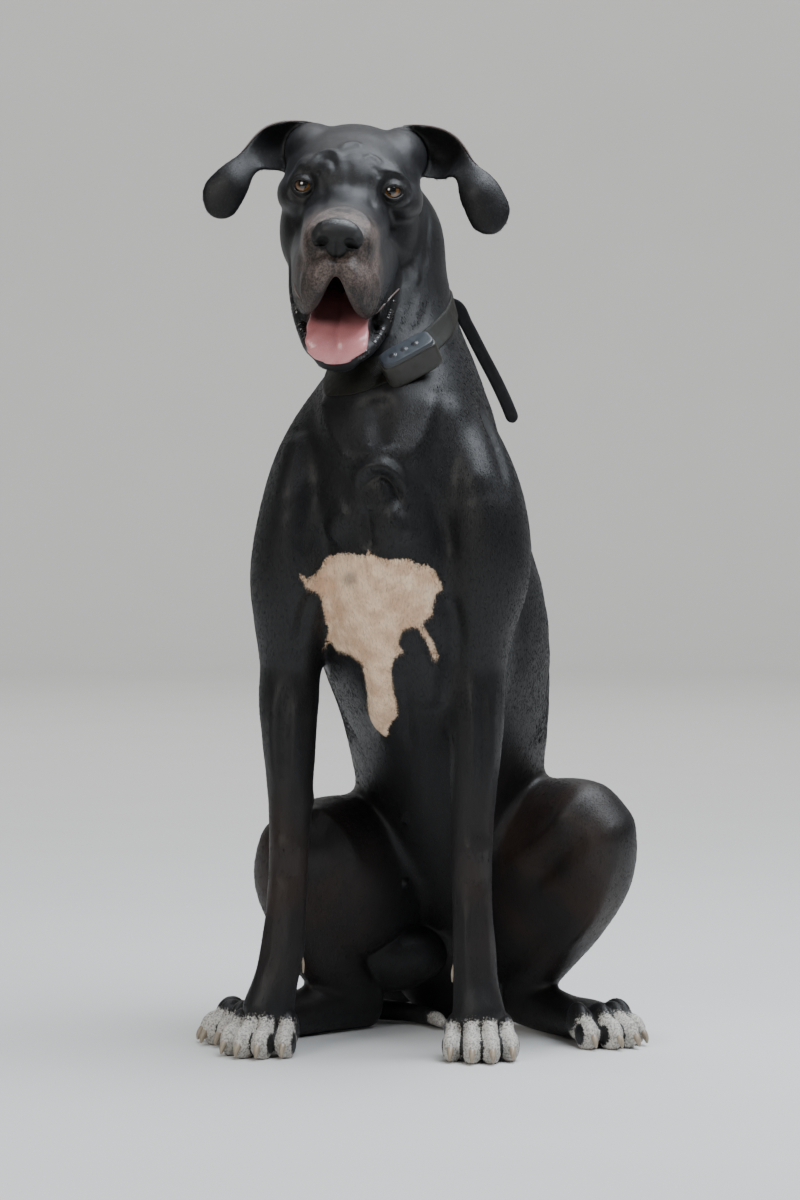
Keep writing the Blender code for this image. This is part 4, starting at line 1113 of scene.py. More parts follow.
def eyeball(name, m, material, rings=64, around=72):
    """A sphere about the gaze: radius * (cos u along the gaze, sin u around it)."""
    centre, radius = eye_centre(m), EYE_RADIUS - 0.0003
    gaze = unit(GAZE + np.array([0.05 * m, 0, 0]))
    right = unit(np.cross(gaze, (0, 0, 1)))
    up = np.cross(right, gaze)
    u = (np.linspace(0.0, 1.0, rings) ** 1.4 * math.pi)[1:-1]
    uu, vv = np.meshgrid(u, circle(around), indexing="ij")
    bulge = 1.0 + 0.035 * np.exp(-(uu / 0.60) ** 4)
    way = (np.cos(uu)[..., None] * gaze + np.sin(uu)[..., None]
           * (np.cos(vv)[..., None] * right + np.sin(vv)[..., None] * up))
    verts = (centre + radius * bulge[..., None] * way).reshape(-1, 3)
    ends = centre + np.array([gaze * 1.035, -gaze]) * radius
    ob = mesh_of(name, [(np.concatenate([verts, ends]), grid_faces(len(u), around))], material)
    turn = np.concatenate([vv.ravel(), [0.0, 0.0]])
    angle = np.concatenate([uu.ravel(), [0.0, math.pi]])
    store(ob, {"angle": angle, "spoke_x": np.cos(turn), "spoke_y": np.sin(turn)})
    return ob


def eye_material():
    """A dark pupil, amber spokes with painted shade of the upper lid darkening them upward and a darker outer
    edge, and the dim white of the eye.
    """
    s = Nodes("eye")
    angle = s.field("angle")
    spokes = s.add("ShaderNodeCombineXYZ")
    for socket, name, scale in zip(spokes.inputs, ("spoke_x", "spoke_y", "angle"), (9.0, 9.0, 2.0)):
        s.put(socket, s.times(s.field(name), scale))
    amber = s.mix(s.noise(spokes.outputs[0], 2.2, 3, 0.6), (0.030, 0.011, 0.003), (0.27, 0.115, 0.022))
    # Painted shade: the iris darkens upward, as if under the upper lid's shadow.
    amber = s.mix(s.ramp(s.field("spoke_y"), -0.35, 0.55, 0.0, 0.92), amber, (0.012, 0.006, 0.003))
    amber = s.mix(s.ramp(angle, 0.66, 0.86, 0.0, 0.95), amber, (0.006, 0.0035, 0.003))
    colour = s.mix(s.ramp(angle, 0.40, 0.52), (0.0012, 0.0012, 0.0016), amber)
    white = s.mix(s.noise(s.place(), 300), (0.014, 0.009, 0.008), (0.040, 0.028, 0.025))
    return s.finish(Base_Color=s.mix(s.ramp(angle, 0.80, 0.88), colour, white), Roughness=0.06,
                    Coat_Weight=1.0, Coat_Roughness=0.02, Specular_IOR_Level=0.6)


eye_finish = eye_material()
eyes = [(eyeball("eyeball_" + side, m, eye_finish), "eye_" + side) for side, m in SIDES]


# %% Lid rims
def tube(line, radius, around=10, closed=False):
    """A round tube on a line: centre + radius * (cos a * side + sin a * up) at each point."""
    line = np.asarray(line, float)
    n = len(line)
    r = np.broadcast_to(radius, (n,))
    path = unit(np.roll(line, -1, 0) - np.roll(line, 1, 0) if closed else np.gradient(line, axis=0))
    side = unit(np.cross(path, (0.13, 0.35, 0.93)))
    up = np.cross(side, path)
    a = circle(around)
    ring = line[:, None] + r[:, None, None] * (np.cos(a)[None, :, None] * side[:, None]
                                               + np.sin(a)[None, :, None] * up[:, None])
    if closed:
        return ring.reshape(-1, 3), ring_quads(n, around, True)
    return np.concatenate([ring.reshape(-1, 3), line[:1], line[-1:]]), grid_faces(n, around)


def lid_line(m, upper, count=48, over=0.0009):
    """The lid's edge laid on a ball just outside the eyeball."""
    out, left, up = eye_axes(m)
    a = HALF_EYE * np.cos(np.linspace(math.pi, 0, count))
    b = lid_edge(a, upper)
    c = np.sqrt(np.clip((EYE_RADIUS + over) ** 2 - a**2 - b**2, 0, None))
    return eye_centre(m) + a[:, None] * left + b[:, None] * up + c[:, None] * out


def wet_dark(name, rough, colours, bump=0.0004, scale=260, wet=0.5):
    """Dark bare skin with a fine grain, and a clear coat where it is wet."""
    s = Nodes(name)
    grain = s.noise(s.place(), scale, 3, 0.6)
    return s.finish(Base_Color=s.mix(grain, *colours), Normal=s.bump(grain, bump, 0.6),
                    Roughness=s.ramp(s.noise(s.place(), scale * 0.4, 2), 0.3, 0.7, rough * 0.8, rough * 1.3),
                    Coat_Weight=wet, Coat_Roughness=0.12)


RIM_RADIUS = 0.0011
rim_finish = wet_dark("lid_rim", 0.40, ((0.003, 0.0026, 0.0026), (0.010, 0.007, 0.0065)), wet=0.15)
rims = []
for side, m in SIDES:
    loop = np.concatenate([lid_line(m, True), lid_line(m, False)[::-1][1:-1]])
    rims.append(mesh_of("lid_rim_" + side, [tube(loop, RIM_RADIUS, closed=True)], rim_finish))
print("eyes:", [triangles(ob) for ob, _ in eyes], "rims:", [triangles(ob) for ob in rims])

# %% [markdown]
# ## Nose
# The leather is joined from ellipsoids at 0.9 mm and the nostrils are cut in as commas that
# run back and outward. Its skin is pebbled, so the bump is a small cell pattern.


# %% Nose
nose_forms = [head_ball(0, -0.1405, -0.0355, 0.0270, 0.0130, 0.0165),
              head_ball(0, -0.136, -0.051, 0.013, 0.012, 0.014)]
nose_forms += [head_ball(m * 0.0170, -0.1385, -0.0415, 0.0130, 0.0125, 0.0140) for m in (-1, 1)]
NOSE_VOXEL, GROOVE_DEPTH = 0.0009, 0.0016
nose = remeshed(mesh_of("nose_leather", nose_forms), NOSE_VOXEL)
smoothed(nose, 14)
COMMA = table("""
    12 -162 -46 6.4 5.6 5.6; 14 -151 -45.5 6.8 6 6; 19.5 -144.5 -46 6.2 5.8 5.8;
    26 -141 -49 4.4 4.2 4.2; 31 -137 -52 2.6 2.2 2.2""")
for m in (-1, 1):
    comma = in_head(COMMA * [m, 1, 1, 1, 1, 1])
    cutter = mesh_of("nostril", [loft(comma, HEAD[2], around=16, along=20)])
    cut = nose.modifiers.new("cut", "BOOLEAN")
    cut.operation, cut.solver, cut.object = "DIFFERENCE", "EXACT", cutter
    applied(nose)
    bpy.data.objects.remove(cutter, do_unlink=True)
nose_co = coords(nose)
h = head_coords(nose_co)
groove = np.exp(-(h[:, 0] / 0.0013) ** 2) * smoothstep(-0.036, -0.046, h[:, 2]) * (h[:, 1] < -0.135)
set_coords(nose, nose_co + normals(nose) * (-GROOVE_DEPTH * groove)[:, None])
# How far each point faces away from the top of the head: it drives the roughness and the painted shade.
store(nose, {"front": smoothstep(0.75, 0.25, normals(nose) @ HEAD[2])})


def nose_material():
    """Pebbled black leather, rough on its front and glossy on top, with painted shade that darkens its front.
    """
    s = Nodes("nose")
    cell = s.add("ShaderNodeTexVoronoi", feature="DISTANCE_TO_EDGE")
    s.put(cell.inputs["Vector"], s.place())
    s.put(cell.inputs["Scale"], 620)
    pebble, broad = s.ramp(cell.outputs["Distance"], 0.0, 0.28), s.noise(s.place(), 130)
    colour = s.mix(pebble, (0.0020, 0.0019, 0.0020), (0.0068, 0.0065, 0.0068))
    colour = s.mix(s.times(broad, 0.2), colour, (0.022, 0.018, 0.017))
    # Painted shade: the faces turned away from the top are darkened.
    colour = s.mix(s.times(s.field("front"), 0.75), colour, (0.0010, 0.0010, 0.0011))
    rough = s.plus(s.ramp(broad, 0.3, 0.7, 0.22, 0.32), s.times(s.field("front"), 0.34))
    return s.finish(Base_Color=colour, Roughness=rough, Normal=s.bump(pebble, 0.00025, 0.7),
                    Specular_IOR_Level=0.45, Coat_Weight=0.08, Coat_Roughness=0.22)


nose.data.materials.append(nose_material())
print("nose:", triangles(nose), "triangles")

# %% [markdown]
# ## Tongue and lips
# The tongue is a broad loft that hangs over the lower lip, with a groove down its middle and
# fine bumps. The lower lips are crinkled rolls of wet black skin along the jaw.


# %% Tongue
def tongue_material():
    s = Nodes("tongue")
    buds, blotch = s.noise(s.place(), 900, 2, 0.6), s.noise(s.place(), 70)
    colour = s.mix(blotch, (0.52, 0.165, 0.180), (0.72, 0.300, 0.310))
    colour = s.mix(s.ramp(buds, 0.45, 0.75, 0.0, 0.30), colour, (0.80, 0.48, 0.48))
    return s.finish(Base_Color=colour, Roughness=s.ramp(buds, 0.3, 0.7, 0.28, 0.46),
                    Normal=s.bump(buds, 0.0003, 0.6), Coat_Weight=0.45, Coat_Roughness=0.10,
                    Subsurface_Weight=0.08, Subsurface_Radius=(0.004, 0.0015, 0.001))


tongue_rows = table("""
    -2 -5 -122 26 7 6; -2 -40 -133 31 7 6; -1 -75 -144 34 6 5; 0 -99 -154 35 5.5 5;
    1 -111 -168 34.5 5 5; 2 -113 -178 28.5 4.5 4.5; 3 -112 -184.5 16 4 4""")
tongue = mesh_of("tongue_skin", [head_loft(shifted(tongue_rows), around=64, along=90, square=2.6, dome=0.5)],
                 tongue_material())
co = coords(tongue)
h = head_coords(co)
mid = JAW_SHIFT * np.clip((0.03 - h[:, 1]) / 0.06, 0, 1)
mid = mid + np.interp(-h[:, 2], (0.122, 0.154, 0.188), (-0.002, 0.0, 0.004))
groove = np.exp(-((h[:, 0] - mid) / 0.0028) ** 2)
wave = 0.0005 * np.sin(h[:, 2] * 420 + 3 * np.sin(h[:, 0] * 120))
wave = wave * smoothstep(0.012, 0.026, np.abs(h[:, 0] - mid))
outward = (normals(tongue) @ unit(-0.7 * HEAD[1] + 0.7 * HEAD[2])) > 0.1
set_coords(tongue, co + normals(tongue) * (np.where(outward, -0.0022 * groove, 0) + wave)[:, None])
print("tongue:", triangles(tongue), "triangles")

# %% Lips
lip_finish = wet_dark("lip", 0.26, ((0.005, 0.0045, 0.005), (0.020, 0.014, 0.014)), 0.0005, 320)
lips, lip_lines = [], []
for side, rows in (("left", shifted(lip)), ("right", shifted(mirrored(lip)))):
    roll = curve_through(in_head(rows[1:]), 220)
    t = np.linspace(0, 1, len(roll))
    bead = 0.0010 * np.sin(t * 61 + 4.1 * np.sin(t * 13)) + 0.0007 * np.sin(t * 143 + 3.3 * np.sin(t * 31))
    bead = bead * smoothstep(0.02, 0.12, t) * smoothstep(1.0, 0.80, t)
    lift = 0.0016 * HEAD[2] - 0.0010 * HEAD[1]
    lip_lines.append(roll[:, :3])
    shape = tube(roll[:, :3] + lift, roll[:, 3] * 0.86 + bead, 18)
    lips.append(mesh_of("lower_lip_" + side, [shape], lip_finish))
edges = [tube(line_through(seen(points), 0.001), 0.0011, 8) for points in
         ([(376, 313), (383, 306), (390, 298), (399, 289)], [(294, 284), (296, 291), (300, 298)])]
lip_edge_finish = wet_dark("lip_edge", 0.35, ((0.060, 0.038, 0.034), (0.19, 0.135, 0.12)), 0.0004, 500)
lips.append(mesh_of("lip_edges", edges, lip_edge_finish))
print("lips:", [triangles(ob) for ob in lips])


# %% Ear rims, a painted highlight
def ear_rim_highlight(rows, first=6, last=50):
    """The upper edge of an ear's sheet: centre + way across * half width, along its rows, as a painted
    highlight.
    """
    line = curve_through(rows, 90)[first:last]
    line = line[:, :3] + unit(line[:, 3:6]) * line[:, 6:7] * 0.99 - np.array([0, 0.0012, 0])
    return tube(line, 0.0013 * np.sin(np.linspace(0.15, 3.0, last - first)) + 0.0002, 8)


# Painted highlight: a light brownish grey along the ears' upper edges, where light catches them.
rim_highlight_colours = ((0.050, 0.038, 0.036), (0.190, 0.150, 0.138))
lips.append(mesh_of("ear_rims", [ear_rim_highlight(ear_right), ear_rim_highlight(ear_left)],
                    wet_dark("ear_rim_highlight", 0.60, rim_highlight_colours, 0.0004, 500, wet=0.0)))
print("ear rims:", triangles(lips[-1]), "triangles")


# %% [markdown]
# ## Claws
# Each claw is a short bent cone of horn with its own mesh. A dewclaw hangs on the inner side
# of each wrist.

# %% Claws
def horn_material():
    s = Nodes("claw_horn")
    streak = s.noise(s.place(), 260, 3, 0.6, stretch=(1, 1, 0.3))
    return s.finish(Base_Color=s.mix(streak, (0.17, 0.130, 0.092), (0.42, 0.350, 0.265)), Coat_Weight=0.2,
                    Roughness=s.ramp(streak, 0.3, 0.7, 0.32, 0.50), Normal=s.bump(streak, 0.0003, 0.4))


# Ahead and up, then the half width and the two depths.
CLAW = table("""
    24 20 4.2 4.6 4.6; 30 17.5 4.3 4.7 4.7; 34.5 13.5 3.8 4.3 4.3; 37.5 8.5 2.8 3.2 3.2;
    38.5 4.5 1.3 1.5 1.5""")
DEWCLAW = table("1.5 0 8 1.8 2 2; -0.5 -2 -3 2.1 2.3 2.3; -1 -3 -13 0.9 1 1")
claw_shapes = []
for paw in PAWS:
    for p, ahead, across in toe_places(*paw):
        rows = [(*(p + ahead * front + [0, 0, up]), *radii) for front, up, *radii in CLAW]
        claw_shapes.append(loft(rows, across, around=14, along=16))
for top, m in ((np.array([0.0600, 0.066, 0.102]), 1), (np.array([-0.1130, 0.100, 0.108]), -1)):
    top = np.array(tuple(tree.find_nearest(tuple(top))[0]))
    claw_shapes.append(loft(DEWCLAW * [m, 1, 1, 1, 1, 1] + [*top, 0, 0, 0], around=12, along=10))
claws = mesh_of("claws", claw_shapes, horn_material())
print("claws:", len(claw_shapes), "pieces,", triangles(claws), "triangles")

# %% [markdown]
# ## Collar, box and free end
# The webbing is a thin band laid on the finished skin: rays from the neck's own axis find the
# skin at each angle. The box on it is a rounded block in two tones with three plain buttons.

# %% Strap
COLLAR_POINT = np.array([-0.004, 0.135, 0.848])
COLLAR_NORMAL = unit((-0.36, -0.34, 0.87))
STRAP_WIDTH = 0.024
RING = 240


def around_neck(angle, along, lift):
    """Points at an angle about the neck, moved along its axis and lifted off the skin."""
    e1 = unit(np.cross(COLLAR_NORMAL, (0, 1, 0)))
    e2 = np.cross(COLLAR_NORMAL, e1)
    ways = np.cos(angle)[:, None] * e1 + np.sin(angle)[:, None] * e2
    start = COLLAR_POINT + COLLAR_NORMAL * along
    hits = [tree.ray_cast(tuple(start), tuple(w)) for w in ways]
    r = np.array([hit[3] if hit[3] is not None else 0.08 for hit in hits])
    for _ in range(40):
        r = np.maximum(r, (np.roll(r, 1) + 2 * r + np.roll(r, -1)) / 4)
    return start + ways * (r + lift)[:, None]


def webbing(name, dark, light):
    """Ribs across the strap and crossing threads, from the arc length and the place across."""
    s = Nodes(name)
    ribs, threads = (s.math("SINE", s.times(s.field(name), rate))
                     for name, rate in (("weave_u", 2400.0), ("weave_v", 3600.0)))
    weave = s.math("MULTIPLY_ADD", s.times(ribs, threads), 0.5, 0.5)
    worn = s.noise(s.place(), 120)
    faded = tuple(c * 1.8 for c in light)
    colour = s.mix(s.ramp(worn, 0.45, 0.75, 0.0, 0.4), s.mix(weave, dark, light), faded)
    return s.finish(Base_Color=colour, Roughness=s.ramp(worn, 0.3, 0.7, 0.50, 0.68),
                    Normal=s.bump(weave, 0.0004, 0.7), Specular_IOR_Level=0.25)


# The band's profile: the place across it, as a part of its width, and the lift off the skin.
edge = [(-0.50, -0.0020), (-0.505, 0.0004), (-0.49, 0.0016), (-0.45, 0.0021)]
profile = edge + [(v, 0.0022) for v in np.linspace(-0.4, 0.4, 9)] + [(-w, lift) for w, lift in edge[::-1]]
rings = np.stack([around_neck(circle(RING), w * STRAP_WIDTH, lift) for w, lift in profile], 1)
strap = mesh_of("collar_webbing", [(rings.reshape(-1, 3), ring_quads(RING, len(profile), True))],
                webbing("strap_webbing", (0.0040, 0.0039, 0.0028), (0.0120, 0.0115, 0.0075)))
step = np.linalg.norm(np.roll(rings[:, 2], -1, 0) - rings[:, 2], axis=1)
store(strap, {"weave_u": np.repeat(np.concatenate([[0], np.cumsum(step)[:-1]]), len(profile)),
              "weave_v": np.tile([w * STRAP_WIDTH for w, _ in profile], RING)})
print("webbing: %.0f mm round, %d triangles" % (1e3 * step.sum(), triangles(strap)))

# %% Box on the strap
LONG = unit((0.868, 0.12, 0.48))
OUT = np.array([0.15, -0.78, -0.62])
OUT = unit(OUT - OUT @ LONG * LONG)
UP = np.cross(LONG, OUT)
BOX = np.stack([LONG, OUT, -UP if UP[2] < 0 else UP])
BOX_CENTRE = np.array([0.0115, 0.0215, 0.812])
LEAST = 1e-9


def rounded_block(centre, half, power=0.20):
    """A block with soft edges: half * sign(c) * |c| ** power for each part of a sphere's grid."""
    verts, faces = ball((0, 0, 0), (1, 1, 1), rings=36, around=56)
    verts = unit(verts)
    flat = np.abs(verts[:, 2:3])
    plan = verts[:, :2] / np.maximum(np.linalg.norm(verts[:, :2], axis=1, keepdims=True), LEAST)
    plan = np.sign(plan) * np.abs(plan) ** 0.45 * np.sqrt(np.clip(1 - flat**2, 0, 1)) ** power
    tall = np.sign(verts[:, 2:3]) * flat ** power
    return np.asarray(centre) + (np.hstack([plan, tall]) * half) @ BOX, faces


def moulded(name, dark, light, rough, metal=0.0):
    """Moulded plastic or cast metal with a fine grain and worn places."""
    s = Nodes(name)
    grain, worn = s.noise(s.place(), 1500, 2), s.noise(s.place(), 110, 4, 0.6)
    rough = s.ramp(worn, 0.3, 0.7, rough - 0.08, rough + 0.10)
    return s.finish(Base_Color=s.mix(worn, dark, light), Roughness=rough, Normal=s.bump(grain, 0.00012, 0.5),
                    Metallic=metal)


LOWER_HALF, LID_HALF = np.array([0.0345, 0.0160, 0.0165]), np.array([0.0325, 0.0146, 0.0058])
box_lower = mesh_of("box_lower", [rounded_block(BOX_CENTRE - BOX[2] * 0.0026, LOWER_HALF)],
                    moulded("box_olive", (0.012, 0.0115, 0.0090), (0.028, 0.0265, 0.0205), 0.45))
box_upper = mesh_of("box_lid", [rounded_block(BOX_CENTRE + BOX[2] * 0.0124, LID_HALF)],
                    moulded("box_grey", (0.018, 0.0215, 0.027), (0.042, 0.049, 0.059), 0.40))
buttons = []
for k, r in ((-0.0165, 0.0052), (-0.0020, 0.0047), (0.0120, 0.0047)):
    at = BOX_CENTRE + BOX[0] * k + BOX[1] * 0.0010 + BOX[2] * 0.0178
    buttons.append(ball(at, (r, r, 0.0013), BOX, 12, 24))
    buttons.append(ball(at + BOX[2] * 0.0006, (r * 0.62, r * 0.62, 0.0012), BOX, 10, 20))
box_buttons = mesh_of("box_buttons", buttons,
                      moulded("box_button", (0.016, 0.017, 0.020), (0.040, 0.043, 0.050), 0.35))

# %% Free end
END_WIDTH, END_THICK, END_TIP = 0.0150, 0.0024, 0.010
end_line = curve_through(table("""
    52 163 884; 66 165 880; 79 171 858; 98 178 822; 115 182 790; 128 183 762; 136 184 742"""), 90)
path = unit(np.gradient(end_line, axis=0))
across = np.array([0.89, -0.12, 0.46])
side = unit(across - (path @ across)[:, None] * path)
face = np.cross(path, side)
length = np.concatenate([[0], np.cumsum(np.linalg.norm(np.diff(end_line, axis=0), axis=1))])
past = np.clip(1 - (length[-1] - length) / END_TIP, 0, 1)
half = END_WIDTH / 2 * np.sqrt(np.clip(1 - past ** 2.5, 0.04, 1))
# The strip's outline across its width and thickness, from one half to the other turned over.
strip = [(-1, -0.5), (-1.02, 0), (-1, 0.5), (-0.9, 1), (-0.5, 1), (0, 1), (0.5, 1), (0.9, 1)]
strip = np.array(strip + [(-x, -y) for x, y in strip], float)
ring = (end_line[:, None] + side[:, None] * (half[:, None] * strip[:, 0])[..., None]
        + face[:, None] * (END_THICK / 2 * strip[:, 1])[None, :, None])
verts = np.concatenate([ring.reshape(-1, 3), end_line[:1], end_line[-1:]])
free_end = mesh_of("collar_free_end", [(verts, grid_faces(len(end_line), len(strip)))],
                   webbing("end_webbing", (0.007, 0.007, 0.008), (0.022, 0.022, 0.024)))
store(free_end, {"weave_u": np.concatenate([np.repeat(length, len(strip)), [0, length[-1]]]),
                 "weave_v": np.concatenate([np.tile(strip[:, 0] * END_WIDTH / 2, len(end_line)), [0, 0]])})


# %% Buckle
def buckle_shapes(angle=math.radians(-134), half=(0.0105, 0.0160)):
    """A rounded frame across the strap, its pin, and the keeper loop that holds the free end."""
    at, beside = around_neck(np.array([angle, angle + 0.02]), 0.0, 0.0038)
    along = unit(beside - at)
    across = unit(COLLAR_NORMAL - COLLAR_NORMAL @ along * along)
    out = np.cross(along, across)
    out = out * np.sign(out @ (at - COLLAR_POINT))
    turn = circle(64)[:, None]
    c, d = (np.sign(f(turn)) * np.abs(f(turn)) ** 0.45 for f in (np.cos, np.sin))
    frame_line = at + c * along * half[0] + d * across * half[1]
    pin = at + np.linspace(-1.05, 1.05, 12)[:, None] * along * half[0] + out * 0.0014
    keeper = at + along * 0.024 + c * out * 0.0052 + d * across * (STRAP_WIDTH / 2 + 0.0018)
    return [tube(frame_line, 0.0017, closed=True), tube(pin, 0.0013), tube(keeper, 0.0016, closed=True)]


buckle = mesh_of("buckle", buckle_shapes(),
                 moulded("buckle_metal", (0.10, 0.10, 0.105), (0.20, 0.20, 0.205), 0.34, 0.85))
print("box, buttons and free end:", [triangles(ob) for ob in (box_lower, box_upper, box_buttons, free_end)])

# %% [markdown]
# ## Short coat
# The coat is sleek, so its grain is bump, and thin tufts lie along the body over the skin. Each
# is a three-sided spike of four triangles. They break up the outline, the ears' rims, the edge
# of the bib and the toes. A tuft wears the colour of the skin at its root.


# %% Lie of the coat
def flow(co):
    """The way the hair points: from nose to nape on the head, down and back on the body."""
    h = head_coords(co)
    on_head = smoothstep(0.885, 0.935, co[:, 2])[:, None]
    ears = (smoothstep(0.085, 0.115, np.abs(h[:, 0])) * (h[:, 1] > 0.03))[:, None]
    head_way = HEAD[1] - 0.25 * HEAD[2] + np.sign(h[:, :1]) * 0.25 * HEAD[0]
    ear_way = np.sign(h[:, :1]) * HEAD[0] * 0.75 - HEAD[2] * 0.65
    head_way = head_way * (1 - ears) + ear_way * ears
    low = smoothstep(0.12, 0.05, co[:, 2])[:, None] * (co[:, 1] < 0.35)[:, None]
    body_way = (0.22 * BODY[1] - BODY[2]) * (1 - low) + np.array([0, -0.55, -0.55]) * low
    return unit(head_way * on_head + body_way * (1 - on_head))


def sampled(rng, count, weight):
    """Roots spread over the skin by area times a weight, with their normals."""
    skin.data.calc_loop_triangles()
    tri = read(skin.data.loop_triangles, "vertices", 3, np.int32)
    a, b, c = (skin_co[tri[:, k]] for k in range(3))
    area = np.linalg.norm(np.cross(b - a, c - a), axis=1) / 2
    chance = area * weight((a + b + c) / 3)
    pick = rng.choice(len(tri), count, p=chance / chance.sum())
    u, v = rng.random(count), rng.random(count)
    flip = u + v > 1
    u, v = np.where(flip, 1 - u, u)[:, None], np.where(flip, 1 - v, v)[:, None]
    root = a[pick] * (1 - u - v) + b[pick] * u + c[pick] * v
    n = skin_n[tri[pick]]
    return root, unit(n[:, 0] * (1 - u - v) + n[:, 1] * u + n[:, 2] * v)


# %% An unwrap of the skin
# Each region of the dog: the middle, the axis and the length of its cylinder.
CHARTS = {
    "head": ((-0.06, 0.08, 1.0), (0.10, 1.0, -0.10), 0.30),
    "ear_right": ((-0.17, 0.11, 1.03), (1, 0, 0.3), 0.14),
    "ear_left": ((0.07, 0.11, 1.03), (1, 0, -0.3), 0.14),
    "trunk": ((0.01, 0.20, 0.55), (0.05, -0.35, 0.93), 0.95),
    "leg_right": ((-0.14, 0.11, 0.22), (0, 0, 1), 0.46), "leg_left": ((0.09, 0.07, 0.22), (0, 0, 1), 0.46),
    "haunch_right": ((-0.08, 0.26, 0.14), (-0.5, -0.5, 0.5), 0.50),
    "haunch_left": ((0.19, 0.24, 0.14), (0.4, -0.5, 0.5), 0.50),
    "tail": ((-0.02, 0.45, 0.02), (0, 0, 1), 0.10)}


def region_of(co):
    """The number of the chart that each point belongs to. A later rule wins over an earlier one."""
    (x, y, z), (side, back) = co.T, body_coords(co)[:, :2].T
    aside, behind = head_coords(co)[:, :2].T
    region = np.full(len(co), 3)
    region[(z < 0.40) & (back < 0.16) & (x < -0.06)] = 4
    region[(z < 0.40) & (back < 0.16) & (x > 0.02) & (y < 0.15)] = 5
    region[(z < 0.36) & (side < -0.06) & (region == 3)] = 6
    region[(z < 0.36) & (side > 0.09) & (region == 3)] = 7
    region[(z < 0.05) & (region == 3)] = 8
    region[z > 0.90] = 0
    region[(z > 0.90) & (aside < -0.088) & (behind > 0.04)] = 1
    region[(z > 0.90) & (aside > 0.088) & (behind > 0.04)] = 2
    return region


def unwrapped(co):
    """Each region is a cylinder, its angle and height laid in one cell of three by three."""
    region, uv = region_of(co), np.zeros((len(co), 2))
    for k, (centre, axis, length) in enumerate(CHARTS.values()):
        axis = unit(axis)
        e1 = unit(np.cross(axis, (0.2, 0.9, 0.4)))
        e2 = np.cross(axis, e1)
        q = co[region == k] - centre
        angle = (np.arctan2(q @ e2, q @ e1) / (2 * math.pi) + 0.5) * 0.96 + 0.02
        tall = np.clip(q @ axis / length + 0.5, 0.0, 1.0) * 0.96 + 0.02
        uv[region == k] = np.stack([(k % 3 + angle) / 3, (k // 3 + tall) / 3], -1)
    return uv


# %% Tufts
SPREAD = 0.22
SUNK = 0.0003
UV_REACH = 0.0015
LID_REACH, LIP_REACH, SOLE = 0.0170, 0.0095, 0.007


def tufts(name, root, n, length, width, lift):
    """Thin three-sided spikes that lie along the coat.

    The foot of a spike is centre + width * (cos a * side + sin a * n) at three angles a, sunk a
    little in the skin. Its tip is root + length * way + length * sin(lift) * n.
    """
    count = len(root)
    way = flow(root)
    way = unit(way - (way * n).sum(1, keepdims=True) * n + 1e-6)
    way = unit(way + np.cross(way, n) * rng.normal(0, SPREAD, (count, 1)))
    side = unit(np.cross(way, n))
    a = math.pi * np.array([0.5, 0.5 + 2 / 3, 0.5 + 4 / 3])
    ring = np.cos(a)[None, :, None] * side[:, None] + np.sin(a)[None, :, None] * n[:, None]
    foot = (root - n * SUNK)[:, None] + ring * width[:, None, None]
    tip = root + way * length[:, None] + n * (length * np.sin(lift))[:, None]
    verts = np.concatenate([foot, tip[:, None]], axis=1)
    pattern = np.array([(0, 3, 1), (1, 3, 2), (2, 3, 0), (0, 1, 2)])
    faces = (np.arange(count)[:, None, None] * 4 + pattern[None]).reshape(-1, 3)
    mesh = bpy.data.meshes.new(name)
    mesh.vertices.add(count * 4)
    mesh.vertices.foreach_set("co", verts.astype(np.float32).ravel())
    mesh.loops.add(faces.size)
    mesh.loops.foreach_set("vertex_index", faces.astype(np.int32).ravel())
    mesh.polygons.add(len(faces))
    mesh.polygons.foreach_set("loop_start", np.arange(len(faces), dtype=np.int32) * 3)
    mesh.update(calc_edges=True)
    smooth_faces(mesh)
    corner = UV_REACH * np.concatenate([np.stack([np.cos(a), np.sin(a)], -1), [[0.0, 0.0]]])
    uv = (unwrapped(root)[:, None] + corner[None]).reshape(-1, 2)
    mesh.uv_layers.new(name="OFBake").data.foreach_set("uv", uv[faces.ravel()].astype(np.float32).ravel())
    mesh.materials.append(tuft_coat)
    ob = placed_in_scene(bpy.data.objects.new(name, mesh))
    store(ob, {k: np.repeat(v, 4) for k, v in paint_fields(root).items()}, np.repeat(root, 4, axis=0))
    return ob


def clear_of_seats(root):
    """Leaves out roots in the mouth, on lids and lips, under the strap and box, and on the soles."""
    keep = (paint_fields(root)["mouth"] < 0.3) & (from_eyes(root) > LID_REACH)
    off = (root - COLLAR_POINT) @ COLLAR_NORMAL
    keep &= (off > 0.0210) | (off < -0.0145) | (root[:, 2] < 0.75)
    keep &= np.abs((root - BOX_CENTRE) @ BOX.T / [0.040, 0.030, 0.030]).max(1) > 1
    keep &= np.linalg.norm((head_coords(root) - [0, -0.145, -0.045]) / [0.030, 0.016, 0.024], axis=1) > 1
    for p in np.concatenate([line[::4] for line in lip_lines]):
        keep &= np.linalg.norm(root - p, axis=1) > LIP_REACH
    return keep & (root[:, 2] > SOLE)


tuft_coat = coat("coat_tufts", 0.55)
rng = np.random.default_rng(7)
# Heights that part the groups of tufts, and how far back the rear ones start.
NAPE, SHOULDER, ELBOW, HAUNCH, REAR = 0.885, 0.70, 0.40, 0.36, 0.20
